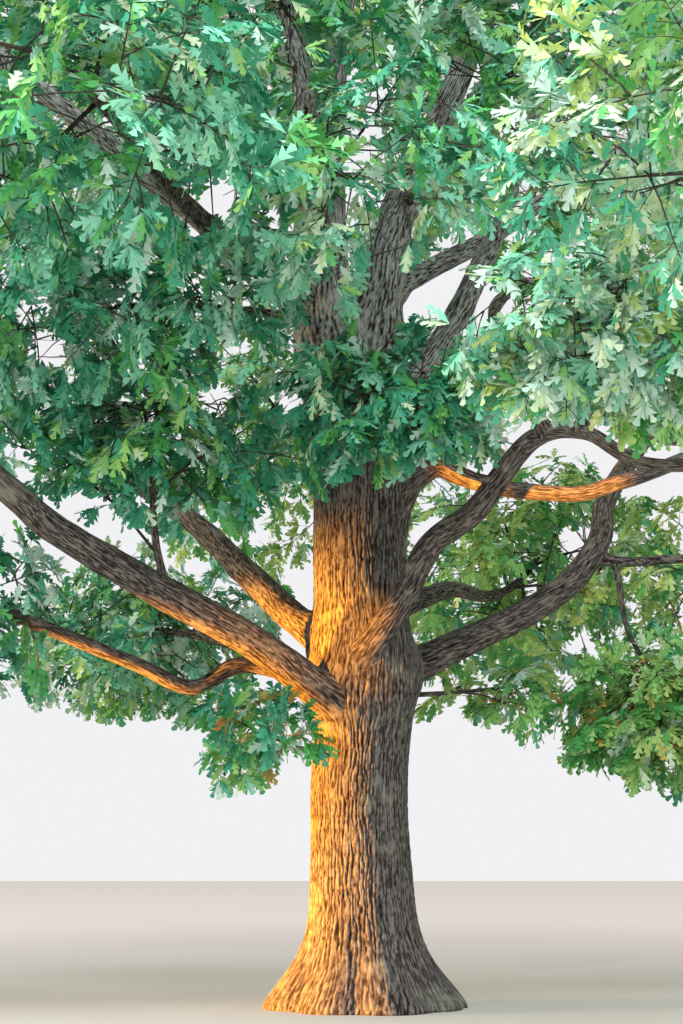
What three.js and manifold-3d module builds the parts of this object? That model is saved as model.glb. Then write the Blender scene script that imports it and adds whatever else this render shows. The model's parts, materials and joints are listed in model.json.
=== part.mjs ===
// A broad white oak in full leaf, from the flat cut of its trunk at ground level to the crown's top.
// Millimetres, +Z up, the trunk's foot centred on the origin, the side the viewer stands on at -Y.
import * as THREE from "three";
import Module from "manifold-3d";

const wasm = await Module();
wasm.setup();

// ---- driving dimensions, mm and degrees ----

// air left between one solid and the next
const JOINT_GAP = 0.3;

// the trunk's waist, the swelling where the boughs leave it, and the flare down to the roots
const WAIST_RADIUS = 428;
const WAIST_TAPER = 50;
const WAIST_HEIGHT = 2500;
const COLLAR_RADIUS = 75;
const COLLAR_HEIGHT = 2980;
const COLLAR_SPREAD = 430;
const FLARE_RADIUS = 455;
const FLARE_HEIGHT = 420;
const FLARE_POWER = 1.5;
const TRUNK_SIDES = 20;
const TRUNK_HEIGHTS = [0, 70, 180, 320, 500, 760, 1150, 1700, 2250, 2620, 2980, 3350, 3900, 4600, 5250];
// the crown of the fork, drawn in between the two leaders: height and share of the full radius
const FORK_DOME = [[5600, 0.92], [5800, 0.7], [5930, 0.4]];

// root buttresses round the foot: direction, size against the rest, width in degrees
const BUTTRESSES = [
  [-175, 1.0, 30], [-118, 0.8, 24], [-72, 0.95, 26], [-20, 0.75, 24],
  [12, 1.0, 28], [70, 0.85, 26], [118, 0.95, 28], [155, 0.7, 22],
];
const BUTTRESS_HEIGHT = 620;
const HOLLOW_IN_FLARE = 0.3;
const HOLLOW_IN_WAIST = 0.12;

// the trunk's slight lean, in legs of length, heading and climb
const TRUNK_LEGS = [
  [500, 180, 88], [900, 180, 88], [550, 180, 89], [550, 0, 87], [700, 0, 90],
  [860, 135, 88], [840, 90, 89], [700, 146, 87], [350, 180, 89],
];

// Each limb starts on its parent's core, so far along it, and runs in legs.
// start: radius of its collar; legs: length, heading from +X, climb, radius at the leg's end.
const LIMBS = {
  leader_left: { parent: "trunk", along: 5100, start: 250, legs: [
    [460, -176, 78, 300], [430, -168, 71, 285], [670, -157, 79, 270],
    [1080, -121, 87, 240], [560, 170, 84, 215],
  ] },
  leader_right: { parent: "trunk", along: 5100, start: 215, legs: [
    [510, 37, 82, 245], [390, 16, 79, 235], [700, 27, 81, 215], [510, 36, 80, 200], [570, 14, 69, 165],
    [1170, 12, 66, 125], [740, 11, 70, 110], [2000, 15, 67, 65],
  ] },
  stem_left: { parent: "leader_left", along: 3000, start: 160, legs: [
    [620, 170, 76, 150], [800, 148, 76, 130], [1390, 149, 69, 100], [1450, 162, 64, 65],
  ] },
  stem_middle: { parent: "leader_left", along: 2950, start: 180, legs: [
    [720, 13, 79, 170], [710, 32, 82, 155], [1440, 39, 77, 110], [2010, 27, 84, 60],
  ] },
  bough_left_front: { parent: "trunk", along: 2600, start: 240, legs: [
    [680, -132, 22, 165], [790, -151, 31, 147], [1020, -151, 24, 143],
    [1040, -148, 25, 125], [600, -149, 35, 120], [1770, -156, 35, 85],
  ] },
  bough_left_low: { parent: "trunk", along: 2950, start: 130, legs: [
    [580, -170, 6, 85], [570, -170, 8, 75], [480, -167, -26, 70], [600, -164, 21, 65], [1260, -163, 20, 55],
    [830, -158, 15, 45],
  ] },
  bough_left_back: { parent: "trunk", along: 3150, start: 220, legs: [
    [740, 148, 28, 145], [870, 140, 37, 133], [1300, 138, 36, 100], [2570, 139, 28, 75],
  ] },
  bough_right_front: { parent: "trunk", along: 2850, start: 200, legs: [
    [550, -86, 35, 135], [590, -33, 51, 118], [610, -50, 50, 112], [550, -38, 29, 106], [850, -48, 38, 86],
    [610, -48, -1, 60], [690, -42, -29, 55], [830, -25, 1, 50], [1050, -35, 22, 45],
  ] },
  bough_right_arch: { parent: "bough_right_front", along: 3700, start: 65, legs: [
    [190, -53, 47, 50], [260, -36, -4, 50], [360, -44, -37, 47], [540, -49, -9, 45], [1480, -75, 16, 38],
  ] },
  bough_right_middle: { parent: "trunk", along: 4150, start: 210, legs: [
    [370, -19, 54, 150], [420, -11, 52, 134], [290, 0, 31, 115], [270, -12, -24, 85], [380, -8, -18, 75],
    [680, -17, -7, 72], [380, -16, 11, 70], [670, -27, 15, 65], [1920, -6, 23, 50],
  ] },
  bough_right_low: { parent: "trunk", along: 2900, start: 240, legs: [
    [530, 24, 22, 165], [670, 19, 25, 135], [640, 20, 25, 130], [610, 23, 34, 125],
    [580, 40, 48, 113], [550, 57, 64, 100], [1630, 51, 42, 75],
  ] },
  bough_right_level: { parent: "bough_right_low", along: 2770, start: 70, legs: [
    [380, 17, -4, 47], [640, 18, 5, 45], [1200, 17, 2, 35],
  ] },
  branch_right_hanging: { parent: "bough_right_level", along: 290, start: 36, legs: [
    [350, 29, -81, 28], [330, 55, -69, 25], [300, 45, -50, 20],
  ] },
  bough_right_steep: { parent: "trunk", along: 4950, start: 190, legs: [
    [600, 12, 56, 140], [460, 12, 58, 132], [620, 9, 57, 125], [700, 19, 64, 105],
    [610, 12, 66, 75], [800, -34, 70, 65], [1620, -50, 30, 55], [900, -55, 15, 50],
  ] },
  bough_right_grey: { parent: "leader_right", along: 1420, start: 150, legs: [
    [380, 35, 41, 105], [700, 41, 30, 97], [700, 41, 30, 90], [1290, 17, 36, 75], [1310, 5, 32, 60],
  ] },
  bough_left_high: { parent: "leader_left", along: 1300, start: 165, legs: [
    [360, -146, 34, 110], [1120, -161, 33, 98], [1150, -161, 36, 88], [1190, -162, 35, 78],
    [1080, -164, 32, 65],
  ] },
  branch_right_upright: { parent: "bough_right_front", along: 3320, start: 70, legs: [
    [530, -126, 40, 56], [360, -121, 36, 53], [500, -105, 34, 48], [600, -75, 5, 40],
  ] },
  bough_front_high: { parent: "stem_middle", along: 1130, start: 120, legs: [
    [1620, -81, 43, 70], [1510, -81, 36, 55],
  ] },
  bough_back_high: { parent: "leader_right", along: 4500, start: 100, legs: [
    [1400, 100, 38, 70], [1500, 110, 32, 55],
  ] },
  bough_front_left_high: { parent: "stem_left", along: 1500, start: 120, legs: [
    [1500, -105, 6, 80], [1700, -125, 2, 60],
  ] },
  bough_back_left_high: { parent: "stem_left", along: 700, start: 125, legs: [
    [1500, 112, 28, 80], [2200, 125, 20, 60],
  ] },
  bough_back_right_high: { parent: "leader_right", along: 2700, start: 130, legs: [
    [1750, 78, 26, 80], [2100, 68, 20, 60],
  ] },
  bough_back: { parent: "trunk", along: 3600, start: 210, legs: [
    [600, 91, 35, 140], [2010, 98, 31, 110], [1800, 96, 26, 80],
  ] },
  bough_front_left: { parent: "bough_left_high", along: 1350, start: 95, legs: [
    [800, -108, 6, 78], [1500, -98, -2, 60],
  ] },
  bough_back_left_low: { parent: "trunk", along: 2750, start: 150, legs: [
    [630, 120, 23, 90], [1180, 127, 17, 70], [900, 129, 13, 50],
  ] },
  bough_back_right: { parent: "trunk", along: 3400, start: 170, legs: [
    [640, 62, 22, 115], [1500, 65, 14, 85], [900, 66, 2, 65],
  ] },
};
const LIMB_SIDES = { thick: 8, thin: 5 };
const THIN_LIMB = 100;
const LONG_LEG = 1650;

// Each mass of leaves grows from a limb's tip, or from a point along the trunk or a leader,
// and keeps to the part of its ellipsoid that is nearer to it than to any other.
// along: only where it doesn't start at the tip; centre and half: the ellipsoid.
const MASSES = {
  foliage_trunk_left: { limb: "trunk", along: 2230, tint: "deep",
    centre: [-930, -1000, 2420], half: [540, 480, 500] },
  foliage_trunk_right: { limb: "trunk", along: 2840, tint: "bright",
    centre: [1280, 1150, 2950], half: [780, 640, 470] },
  foliage_leader_left: { limb: "leader_left", along: 1250, tint: "deep",
    centre: [-1950, -1900, 6000], half: [1600, 1100, 1100] },
  foliage_leader_front: { limb: "leader_left", along: 1650, tint: "mid",
    centre: [-350, -3000, 7000], half: [1500, 1300, 1150] },
  foliage_left_riser: { limb: "bough_left_front", along: 1950, tint: "deep",
    centre: [-1850, -1350, 4950], half: [1700, 950, 800] },
  foliage_over_trunk: { limb: "bough_right_front", along: 2660, tint: "deep",
    centre: [100, -1750, 5250], half: [1250, 700, 600] },
  foliage_front_left: { limb: "bough_front_left", tint: "deep",
    centre: [-2100, -5000, 6900], half: [2000, 1900, 1350] },
  foliage_front_right: { limb: "bough_right_arch", tint: "blue",
    centre: [2500, -5900, 6150], half: [1900, 1600, 1300] },
  foliage_right_upright: { limb: "branch_right_upright", tint: "blue",
    centre: [1750, -4000, 5350], half: [1150, 950, 800] },
  foliage_left_front: { limb: "bough_left_front", tint: "deep",
    centre: [-6200, -2700, 6400], half: [2500, 2500, 1800] },
  foliage_left_low: { limb: "bough_left_low", tint: "deep",
    centre: [-4300, -1050, 3400], half: [1750, 1700, 1050] },
  foliage_left_back: { limb: "bough_left_back", tint: "mid",
    centre: [-5700, 3200, 6800], half: [2600, 2600, 1900] },
  foliage_left_high: { limb: "bough_left_high", tint: "deep",
    centre: [-5800, -900, 9900], half: [2600, 2600, 2100] },
  foliage_right_front: { limb: "bough_right_front", tint: "mid",
    centre: [5400, -3800, 5600], half: [2200, 2100, 1500] },
  foliage_right_middle: { limb: "bough_right_middle", tint: "mid",
    centre: [6500, -600, 7000], half: [2400, 2400, 1900] },
  foliage_right_back: { limb: "bough_right_low", tint: "bright",
    centre: [4900, 3700, 7200], half: [2500, 2400, 1800] },
  foliage_right_low: { limb: "bough_right_level", tint: "bright",
    centre: [4500, 1900, 4100], half: [1900, 1800, 1250] },
  foliage_right_hanging: { limb: "branch_right_hanging", tint: "gold",
    centre: [2900, 1350, 2750], half: [1000, 750, 700] },
  foliage_right_high: { limb: "bough_right_grey", tint: "bright",
    centre: [5800, 1300, 9800], half: [2700, 2600, 2100] },
  foliage_right_steep: { limb: "bough_right_steep", tint: "mid",
    centre: [4300, -3600, 9700], half: [2600, 2500, 2000] },
  foliage_front_left_high: { limb: "bough_front_left_high", tint: "mid",
    centre: [-2700, -4500, 9700], half: [2500, 2400, 1900] },
  foliage_front_high: { limb: "bough_front_high", tint: "mid",
    centre: [300, -3500, 11900], half: [2700, 2500, 2100] },
  foliage_back_high: { limb: "bough_back_high", tint: "bright",
    centre: [300, 4100, 12200], half: [2700, 2500, 2100] },
  foliage_back_left_high: { limb: "bough_back_left_high", tint: "mid",
    centre: [-3800, 4500, 10000], half: [2700, 2500, 2000] },
  foliage_back_right_high: { limb: "bough_back_right_high", tint: "bright",
    centre: [2700, 5200, 9700], half: [2700, 2400, 2000] },
  foliage_back: { limb: "bough_back", tint: "bright",
    centre: [-900, 6000, 6500], half: [2700, 2400, 1900] },
  foliage_back_left_low: { limb: "bough_back_left_low", tint: "mid",
    centre: [-2400, 3000, 3700], half: [1500, 1400, 850] },
  foliage_back_right: { limb: "bough_back_right", tint: "bright",
    centre: [1900, 4400, 4500], half: [1900, 1700, 1250] },
  foliage_top_left: { limb: "stem_left", tint: "mid",
    centre: [-3400, 700, 12800], half: [2700, 2500, 2100] },
  foliage_top_right: { limb: "leader_right", tint: "mid",
    centre: [3500, 700, 12600], half: [2700, 2500, 2100] },
  foliage_top: { limb: "stem_middle", tint: "mid",
    centre: [200, 300, 14850], half: [2700, 2600, 2150] },
  foliage_leader_right: { limb: "leader_right", along: 2500, tint: "mid",
    centre: [1450, -2000, 8450], half: [1500, 1300, 1250] },
  foliage_leader_high: { limb: "leader_left", along: 2700, tint: "mid",
    centre: [-1300, -2100, 8900], half: [1500, 1300, 1250] },
};

// How a mass grows. One stem, twigs off it towards goals spread over the ellipsoid, and flat
// leaves standing for whole sprays. Shares are of the mass's mean half size.
const TWIGS = 5;
const SMALL_MASS = 1400;
const SMALL_TWIGS = 3;
const SIDE_LEAVES = 2;
const STEM_RINGS = 4;
const STEM_BEND = 0.45;
const STEM_OVERRUN = 0.22;
const STEM_FIT = 0.96;
const STEM_BASE = { share: 0.03, least: 12 };
const STEM_TIP = { share: 0.014, least: 6 };
const TWIG_GIRTH = { share: 0.012, least: 5 };
const TWIG_FOOT = 1.2;
const TWIG_NECK = 0.7;
const TWIG_GOAL = { least: 0.38, more: 0.105 };
const TWIG_ROOT = { middle: 0.7, ahead: 0.22, jitter: 0.06, last: 0.96 };
const TWIG_NOD = 0.12;
const TWIG_CHECKS = [0.5, 0.75, 1];
const TWIG_SPREAD_UP = 1.35;
const LEAF_LENGTH = 0.74;
const LEAF_WIDTH = 0.66;
const LEAF_SECTIONS = [[0.36, 0.78], [0.7, 1]];
const LEAF_CHECKS = [0.36, 0.53, 0.7, 0.85, 1];
const LEAF_FLAT = 0.36;
const SIDE_TURN = 58;
const SIDE_TURN_SPREAD = 22;
const SIDE_FROM = { least: 0.5, more: 0.3 };
const SIDE_LIFT = 0.3;
const SIDE_LEVEL = 0.4;
const SIDE_SIZE = 0.9;
const LEAF_RIDGE = 0.05;
const LEAF_DROOP = 0.16;
const LEAF_SIZES = [1, 0.86, 0.74, 0.6];
const LEAF_FACES_UP = 0.5;
const LEAF_FACES_OUT = 1;
const LEAF_TUMBLE = 1.2;
const GOLDEN_TURN = 137.5;
const SEED_TURN = 71;
const TURN_JITTER = 50;
const FIRST_SEED = 7;
const SEED_STEP = 13;
const SPACE_MARGIN = 0.95;
const CLEARANCE = 18;
const PROBE_STEP = 60;
const RIM_STEP = 90;
const RIM_START = 0.2;

const COLOURS = {
  bark: 0x7d7068, deep: 0x2f6a52, mid: 0x4c7f3c, bright: 0x8aa545, blue: 0x7fae94, gold: 0xa9a148,
};
const BARK_ROUGHNESS = 0.95;
const LEAF_ROUGHNESS = 0.8;

// ---- small helpers ----

const UP = new THREE.Vector3(0, 0, 1);
const STEEP = 0.9;
const rad = THREE.MathUtils.degToRad;

// Park and Miller's generator, so the same number always grows the same tree
function seeded(seed) {
  let state = seed;
  return () => {
    state = (state * 48271) % 2147483647;
    return state / 2147483647;
  };
}

function heading(turn, climb) {
  const flat = Math.cos(rad(climb));
  return new THREE.Vector3(flat * Math.cos(rad(turn)), flat * Math.sin(rad(turn)), Math.sin(rad(climb)));
}

// ---- the limbs' cores ----

// A limb's core: the smooth curve through the ends of its legs, with the radius at each end
function makeCore(start, startRadius, legs) {
  const points = [start.clone()];
  const radii = [startRadius];
  const reach = [0];
  for (const [length, turn, climb, radius] of legs) {
    points.push(points[points.length - 1].clone().addScaledVector(heading(turn, climb), length));
    radii.push(radius);
    reach.push(reach[reach.length - 1] + length);
  }
  return { points, radii, reach, curve: new THREE.CatmullRomCurve3(points, false, "catmullrom", 0.5) };
}

// Position, direction and radius at a distance along the core, measured leg by leg
function onCore(core, distance) {
  const last = core.reach.length - 1;
  let leg = 1;
  while (leg < last && core.reach[leg] < distance) {
    leg += 1;
  }
  const share = (distance - core.reach[leg - 1]) / (core.reach[leg] - core.reach[leg - 1]);
  const t = (leg - 1 + share) / last;
  return {
    centre: core.curve.getPoint(t),
    tangent: core.curve.getTangent(t),
    radius: THREE.MathUtils.lerp(core.radii[leg - 1], core.radii[leg], share),
  };
}

function coreLength(core) {
  return core.reach[core.reach.length - 1];
}

// The distances at which a limb gets a ring: each leg's end, and the middle of each long leg
function ringDistances(core) {
  const distances = [0];
  for (let leg = 1; leg < core.reach.length; leg += 1) {
    if (core.reach[leg] - core.reach[leg - 1] > LONG_LEG) {
      distances.push((core.reach[leg] + core.reach[leg - 1]) / 2);
    }
    distances.push(core.reach[leg]);
  }
  return distances;
}

function trunkRadius(height, angle) {
  const waist = WAIST_RADIUS + WAIST_TAPER * Math.max(0, 1 - height / WAIST_HEIGHT);
  const collar = COLLAR_RADIUS * Math.exp(-(((height - COLLAR_HEIGHT) / COLLAR_SPREAD) ** 2));
  let ridge = 0;
  for (const [direction, size, width] of BUTTRESSES) {
    const off = Math.abs(((angle - direction + 540) % 360) - 180);
    ridge = Math.max(ridge, size * Math.exp(-((off / width) ** 2)));
  }
  const hollow = 1 - ridge;
  const flare = FLARE_RADIUS * Math.exp(-((height / FLARE_HEIGHT) ** FLARE_POWER));
  const fade = Math.exp(-height / BUTTRESS_HEIGHT);
  return (waist + collar) * (1 - HOLLOW_IN_WAIST * fade * hollow) + flare * (1 - HOLLOW_IN_FLARE * hollow);
}

// ---- solids ----

// Closed skin over a run of rings that all have the same number of corners.
// Either end closes on a point where one is given, and with a flat cap where none is.
function loft(rings, foot = null, tip = null) {
  const sides = rings[0].length;
  const corners = rings.flat();
  const faces = [];
  for (let ring = 0; ring + 1 < rings.length; ring += 1) {
    for (let side = 0; side < sides; side += 1) {
      const low = ring * sides + side;
      const lowNext = ring * sides + ((side + 1) % sides);
      faces.push([low, lowNext, lowNext + sides], [low, lowNext + sides, low + sides]);
    }
  }
  for (const [ring, point, flip] of [[0, foot, true], [rings.length - 1, tip, false]]) {
    if (sides === 3 && point === null) {
      const cap = [0, 1, 2].map((corner) => ring * 3 + corner);
      faces.push(flip ? cap.reverse() : cap);
      continue;
    }
    const hub = corners.length;
    const middle = new THREE.Vector3();
    for (const corner of rings[ring]) {
      middle.addScaledVector(corner, 1 / sides);
    }
    corners.push(point || middle);
    for (let side = 0; side < sides; side += 1) {
      const first = ring * sides + side;
      const second = ring * sides + ((side + 1) % sides);
      faces.push(flip ? [hub, second, first] : [hub, first, second]);
    }
  }
  return solid(corners, faces);
}

function solid(corners, faces) {
  const mesh = new wasm.Mesh({
    numProp: 3,
    vertProperties: new Float32Array(corners.flatMap((corner) => corner.toArray())),
    triVerts: new Uint32Array(faces.flat()),
  });
  return new wasm.Manifold(mesh);
}

// One ring of a round limb, square to the tangent; side is carried from ring to ring
function ringAround(centre, tangent, side, radius, sides) {
  const across = side.clone().addScaledVector(tangent, -side.dot(tangent)).normalize();
  const other = tangent.clone().cross(across);
  const ring = [];
  for (let corner = 0; corner < sides; corner += 1) {
    const angle = (2 * Math.PI * corner) / sides;
    ring.push(centre.clone()
      .addScaledVector(across, radius * Math.cos(angle))
      .addScaledVector(other, radius * Math.sin(angle)));
  }
  return { ring, across };
}

// A direction square to the tangent to start the rings from
function firstSide(tangent) {
  const guess = Math.abs(tangent.z) > STEEP ? new THREE.Vector3(1, 0, 0) : UP.clone();
  return guess.addScaledVector(tangent, -guess.dot(tangent)).normalize();
}

// grow: how far every face stands out beyond the limb's own, for cutting its neighbours
function limbSolid(core, grow) {
  const sides = core.radii[1] > THIN_LIMB ? LIMB_SIDES.thick : LIMB_SIDES.thin;
  const swell = grow / Math.cos(Math.PI / sides);
  const rings = [];
  let side = null;
  const distances = ringDistances(core);
  distances.forEach((distance, index) => {
    const { centre, tangent, radius } = onCore(core, distance);
    if (index === distances.length - 1) {
      centre.addScaledVector(tangent, grow);
    }
    const { ring, across } = ringAround(centre, tangent, side || firstSide(tangent), radius + swell, sides);
    side = across;
    rings.push(ring);
  });
  return loft(rings);
}

// The trunk's rings lie level, so its foot is one flat cut
function trunkSolid(core, grow) {
  const swell = grow / Math.cos(Math.PI / TRUNK_SIDES);
  const levels = TRUNK_HEIGHTS.map((height) => [height, 1]).concat(FORK_DOME);
  const rings = levels.map(([height, share], index) => {
    const { centre } = onCore(core, height);
    const lift = index === levels.length - 1 ? grow : 0;
    const ring = [];
    for (let corner = 0; corner < TRUNK_SIDES; corner += 1) {
      const angle = (360 * corner) / TRUNK_SIDES;
      const radius = trunkRadius(height, angle) * share + swell;
      const out = heading(angle, 0);
      ring.push(new THREE.Vector3(centre.x + radius * out.x, centre.y + radius * out.y, height + lift));
    }
    return ring;
  });
  return loft(rings);
}

// The largest body: loose scraps and the walls of sealed hollows are left behind
function largest(shape) {
  const bodies = shape.decompose();
  return bodies.reduce((best, body) => (body.volume() > best.volume() ? body : best));
}

function boxesMeet(first, second) {
  const a = first.boundingBox();
  const b = second.boundingBox();
  return [0, 1, 2].every((axis) => a.min[axis] <= b.max[axis] && b.min[axis] <= a.max[axis]);
}

// ---- growing a mass of leaves ----

// How far a point lies from a mass's centre, in its own half sizes
function reachIn(mass, point) {
  return Math.hypot(
    (point.x - mass.centre[0]) / mass.half[0],
    (point.y - mass.centre[1]) / mass.half[1],
    (point.z - mass.centre[2]) / mass.half[2],
  );
}

function inSpace(name, point) {
  const own = reachIn(MASSES[name], point);
  if (own > 1) {
    return false;
  }
  return Object.keys(MASSES)
    .every((other) => other === name || own < SPACE_MARGIN * reachIn(MASSES[other], point));
}

// Points along a core every few centimetres, with the limb's radius there
function probes(owner, sample, length) {
  const found = [];
  const steps = Math.ceil(length / PROBE_STEP);
  for (let step = 0; step <= steps; step += 1) {
    found.push({ owner, ...sample((length * step) / steps) });
  }
  return found;
}

// A leaf in its own frame: u from root to tip, v across, w off its face
function leafHalfWidth(leaf, u) {
  const share = u / leaf.length;
  const stations = [[0, 0], ...LEAF_SECTIONS, [1, 0]];
  const next = Math.max(1, stations.findIndex(([at]) => at >= share));
  const [from, narrow] = stations[next - 1];
  const [to, wide] = stations[next];
  return (leaf.width / 2) * THREE.MathUtils.mapLinear(share, from, to, narrow, wide);
}

// How far the leaf has bent down from its root's direction
function leafDrop(leaf, u) {
  return LEAF_DROOP * leaf.length * Math.max(0, (u / leaf.length - LEAF_FLAT) / (1 - LEAF_FLAT));
}

// The middle of its thickness, highest along the midrib
function leafSheet(leaf, u, v) {
  const wide = leafHalfWidth(leaf, u);
  const crest = wide > 0 ? Math.max(0, 1 - Math.abs(v) / wide) * ((2 * wide) / leaf.width) : 0;
  return 0.5 * LEAF_RIDGE * leaf.length * crest - leafDrop(leaf, u);
}

function leafPoint(leaf, u, v, w) {
  return leaf.root.clone()
    .addScaledVector(leaf.along, u)
    .addScaledVector(leaf.across, v)
    .addScaledVector(leaf.face, w);
}

function leafOutline(leaf) {
  const points = [];
  for (const share of LEAF_CHECKS) {
    const u = share * leaf.length;
    const wide = leafHalfWidth(leaf, u);
    for (const v of [-wide, wide]) {
      points.push(leafPoint(leaf, u, v, leafSheet(leaf, u, v)));
    }
  }
  return points;
}

// free: the share of the leaf from its root where it may meet its own twig
function leafTouches(leaf, probe, free = 0) {
  const arm = probe.centre.clone().sub(leaf.root);
  const reach = probe.radius + CLEARANCE;
  const u = arm.dot(leaf.along);
  if (u < free * leaf.length - (free > 0 ? 0 : reach) || u > leaf.length + reach) {
    return false;
  }
  const v = arm.dot(leaf.across);
  const inside = Math.min(Math.max(u, 0), leaf.length);
  if (Math.abs(v) > leafHalfWidth(leaf, inside) + reach) {
    return false;
  }
  const w = arm.dot(leaf.face) - leafSheet(leaf, inside, v);
  return Math.abs(w) < reach + 0.5 * LEAF_RIDGE * leaf.length;
}

// Points along a leaf's rim and midrib, past the part that is sunk in its twig
function leafProbes(leaf) {
  const found = [];
  const steps = Math.ceil(leaf.length / RIM_STEP);
  for (let step = Math.ceil(steps * RIM_START); step <= steps; step += 1) {
    const u = (leaf.length * step) / steps;
    const wide = leafHalfWidth(leaf, u);
    for (const v of [-wide, 0, wide]) {
      found.push({ centre: leafPoint(leaf, u, v, leafSheet(leaf, u, v)), radius: 0 });
    }
  }
  return found;
}

function twigTouches(twig, probe) {
  const run = twig.tip.clone().sub(twig.root);
  const arm = probe.centre.clone().sub(twig.root);
  const share = Math.min(Math.max(arm.dot(run) / run.lengthSq(), 0), 1);
  return arm.addScaledVector(run, -share).length() < probe.radius + twig.radius + CLEARANCE;
}

function girthOf({ share, least }, size) {
  return share * size + least;
}

// The stem leaves its limb along the limb's own direction and bends to the mass's centre
function stemOf(mass, cores) {
  const core = cores[mass.limb];
  const centre = new THREE.Vector3(...mass.centre);
  const size = (mass.half[0] + mass.half[1] + mass.half[2]) / 3;
  const rooted = mass.along !== undefined;
  const { centre: from, tangent, radius } = onCore(core, rooted ? mass.along : coreLength(core));
  const start = rooted ? from : from.clone().addScaledVector(tangent, JOINT_GAP);
  const span = start.distanceTo(centre);
  const setOff = rooted ? centre.clone().sub(start).setZ(0).normalize() : tangent;
  const elbow = start.clone().addScaledVector(setOff, span * STEM_BEND);
  const end = centre.clone().add(centre.clone().sub(elbow).setLength(size * STEM_OVERRUN));
  const curve = new THREE.QuadraticBezierCurve3(start, elbow, end);
  const thick = rooted ? girthOf(STEM_BASE, size) : radius * STEM_FIT;
  const girth = (t) => THREE.MathUtils.lerp(thick, girthOf(STEM_TIP, size), t);
  const length = start.distanceTo(elbow) + elbow.distanceTo(end);
  return { curve, girth, size, length, centre };
}

// The frame of a shoot at one point: its direction, and the side its leaves face
function facing(along, wish) {
  const face = wish.clone().addScaledVector(along, -wish.dot(along)).normalize();
  return { along, face, across: face.clone().cross(along) };
}

function growMass(name, seed, cores, stems, barriers) {
  const mass = MASSES[name];
  const { curve, girth, size, centre } = stems[name];
  const roll = seeded(seed);
  const half = new THREE.Vector3(...mass.half);
  const shoots = [];
  const leaves = [];
  const rims = [];
  const wood = barriers.filter((probe) => probe.owner === name);
  const others = barriers.filter((probe) => probe.owner !== name);

  // A leaf faces up and outwards, more or less; the first size that keeps clear is taken
  const tryLeaf = (root, along, scale) => {
    const wish = UP.clone().multiplyScalar(LEAF_FACES_UP)
      .addScaledVector(root.clone().sub(centre).normalize(), LEAF_FACES_OUT)
      .add(new THREE.Vector3(roll() - 0.5, roll() - 0.5, roll() - 0.5).multiplyScalar(LEAF_TUMBLE));
    const frame = facing(along, wish);
    for (const shrink of LEAF_SIZES) {
      const length = size * LEAF_LENGTH * scale * shrink;
      const leaf = { root, ...frame, length, width: length * LEAF_WIDTH };
      const rim = leafProbes(leaf);
      const kept = leafOutline(leaf).every((point) => inSpace(name, point))
        && !leaves.some((placed) => rim.some((probe) => leafTouches(placed, probe)))
        && !rims.some((probe) => leafTouches(leaf, probe))
        && !others.some((probe) => leafTouches(leaf, probe))
        && !wood.some((probe) => leafTouches(leaf, probe, RIM_START));
      if (kept) {
        leaves.push(leaf);
        rims.push(...rim);
        return leaf;
      }
    }
    return null;
  };

  const stemRings = [];
  for (let step = 0; step < STEM_RINGS; step += 1) {
    const t = step / (STEM_RINGS - 1);
    const tangent = curve.getTangent(t);
    stemRings.push({ centre: curve.getPoint(t), radius: girth(t), ...facing(tangent, firstSide(tangent)) });
  }
  const last = stemRings[STEM_RINGS - 1];
  shoots.push({ rings: stemRings, leaf: tryLeaf(last.centre, last.along, 1) });

  const count = size < SMALL_MASS ? SMALL_TWIGS : TWIGS;
  for (let index = 0; index < count; index += 1) {
    const rise = 1 - (2 * (index + 0.5)) / count;
    const spin = rad(index * GOLDEN_TURN + seed * SEED_TURN + roll() * TURN_JITTER);
    const flat = Math.sqrt(1 - rise * rise);
    const out = new THREE.Vector3(flat * Math.cos(spin), flat * Math.sin(spin), rise * TWIG_SPREAD_UP);
    const far = TWIG_GOAL.least + TWIG_GOAL.more * roll();
    const goal = centre.clone().add(out.clone().multiply(half).multiplyScalar(far));
    const ahead = out.dot(curve.getTangent(1));
    const t = TWIG_ROOT.middle + TWIG_ROOT.ahead * ahead + TWIG_ROOT.jitter * roll();
    const root = curve.getPoint(Math.min(t, TWIG_ROOT.last));
    const run = goal.clone().sub(root);
    const along = run.clone().normalize();
    const twig = { root, tip: goal, radius: girthOf(TWIG_GIRTH, size) };
    const level = UP.clone().cross(along).normalize();
    const sides = [];
    for (let side = 0; side < SIDE_LEAVES; side += 1) {
      const turn = rad(SIDE_TURN + SIDE_TURN_SPREAD * roll()) * (side % 2 === 0 ? 1 : -1);
      const aside = along.clone().multiplyScalar(Math.cos(turn))
        .addScaledVector(level, Math.sin(turn))
        .addScaledVector(UP, SIDE_LIFT * (roll() - SIDE_LEVEL)).normalize();
      const share = SIDE_FROM.least + SIDE_FROM.more * roll();
      sides.push({ aside, from: root.clone().addScaledVector(run, share) });
    }
    const clear = TWIG_CHECKS.every((share) => inSpace(name, root.clone().addScaledVector(run, share)))
      && !others.some((probe) => twigTouches(twig, probe));
    if (clear) {
      wood.push(...probes(name, (distance) => ({
        centre: root.clone().addScaledVector(along, distance), radius: twig.radius,
      }), run.length()));
      const leaf = tryLeaf(goal, along.clone().addScaledVector(UP, -TWIG_NOD).normalize(), 1);
      const frame = facing(along, leaf ? leaf.face : UP);
      shoots.push({
        rings: [
          { centre: root, radius: twig.radius * TWIG_FOOT, ...frame },
          { centre: goal, radius: twig.radius * TWIG_NECK, ...frame },
        ],
        leaf,
      });
      for (const { from, aside } of sides) {
        tryLeaf(from, aside, SIDE_SIZE);
      }
    }
  }
  const joined = new Set(shoots.map((shoot) => shoot.leaf));
  return shoots.map(shootSolid).concat(leaves.filter((leaf) => !joined.has(leaf)).map(leafSolid));
}

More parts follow.
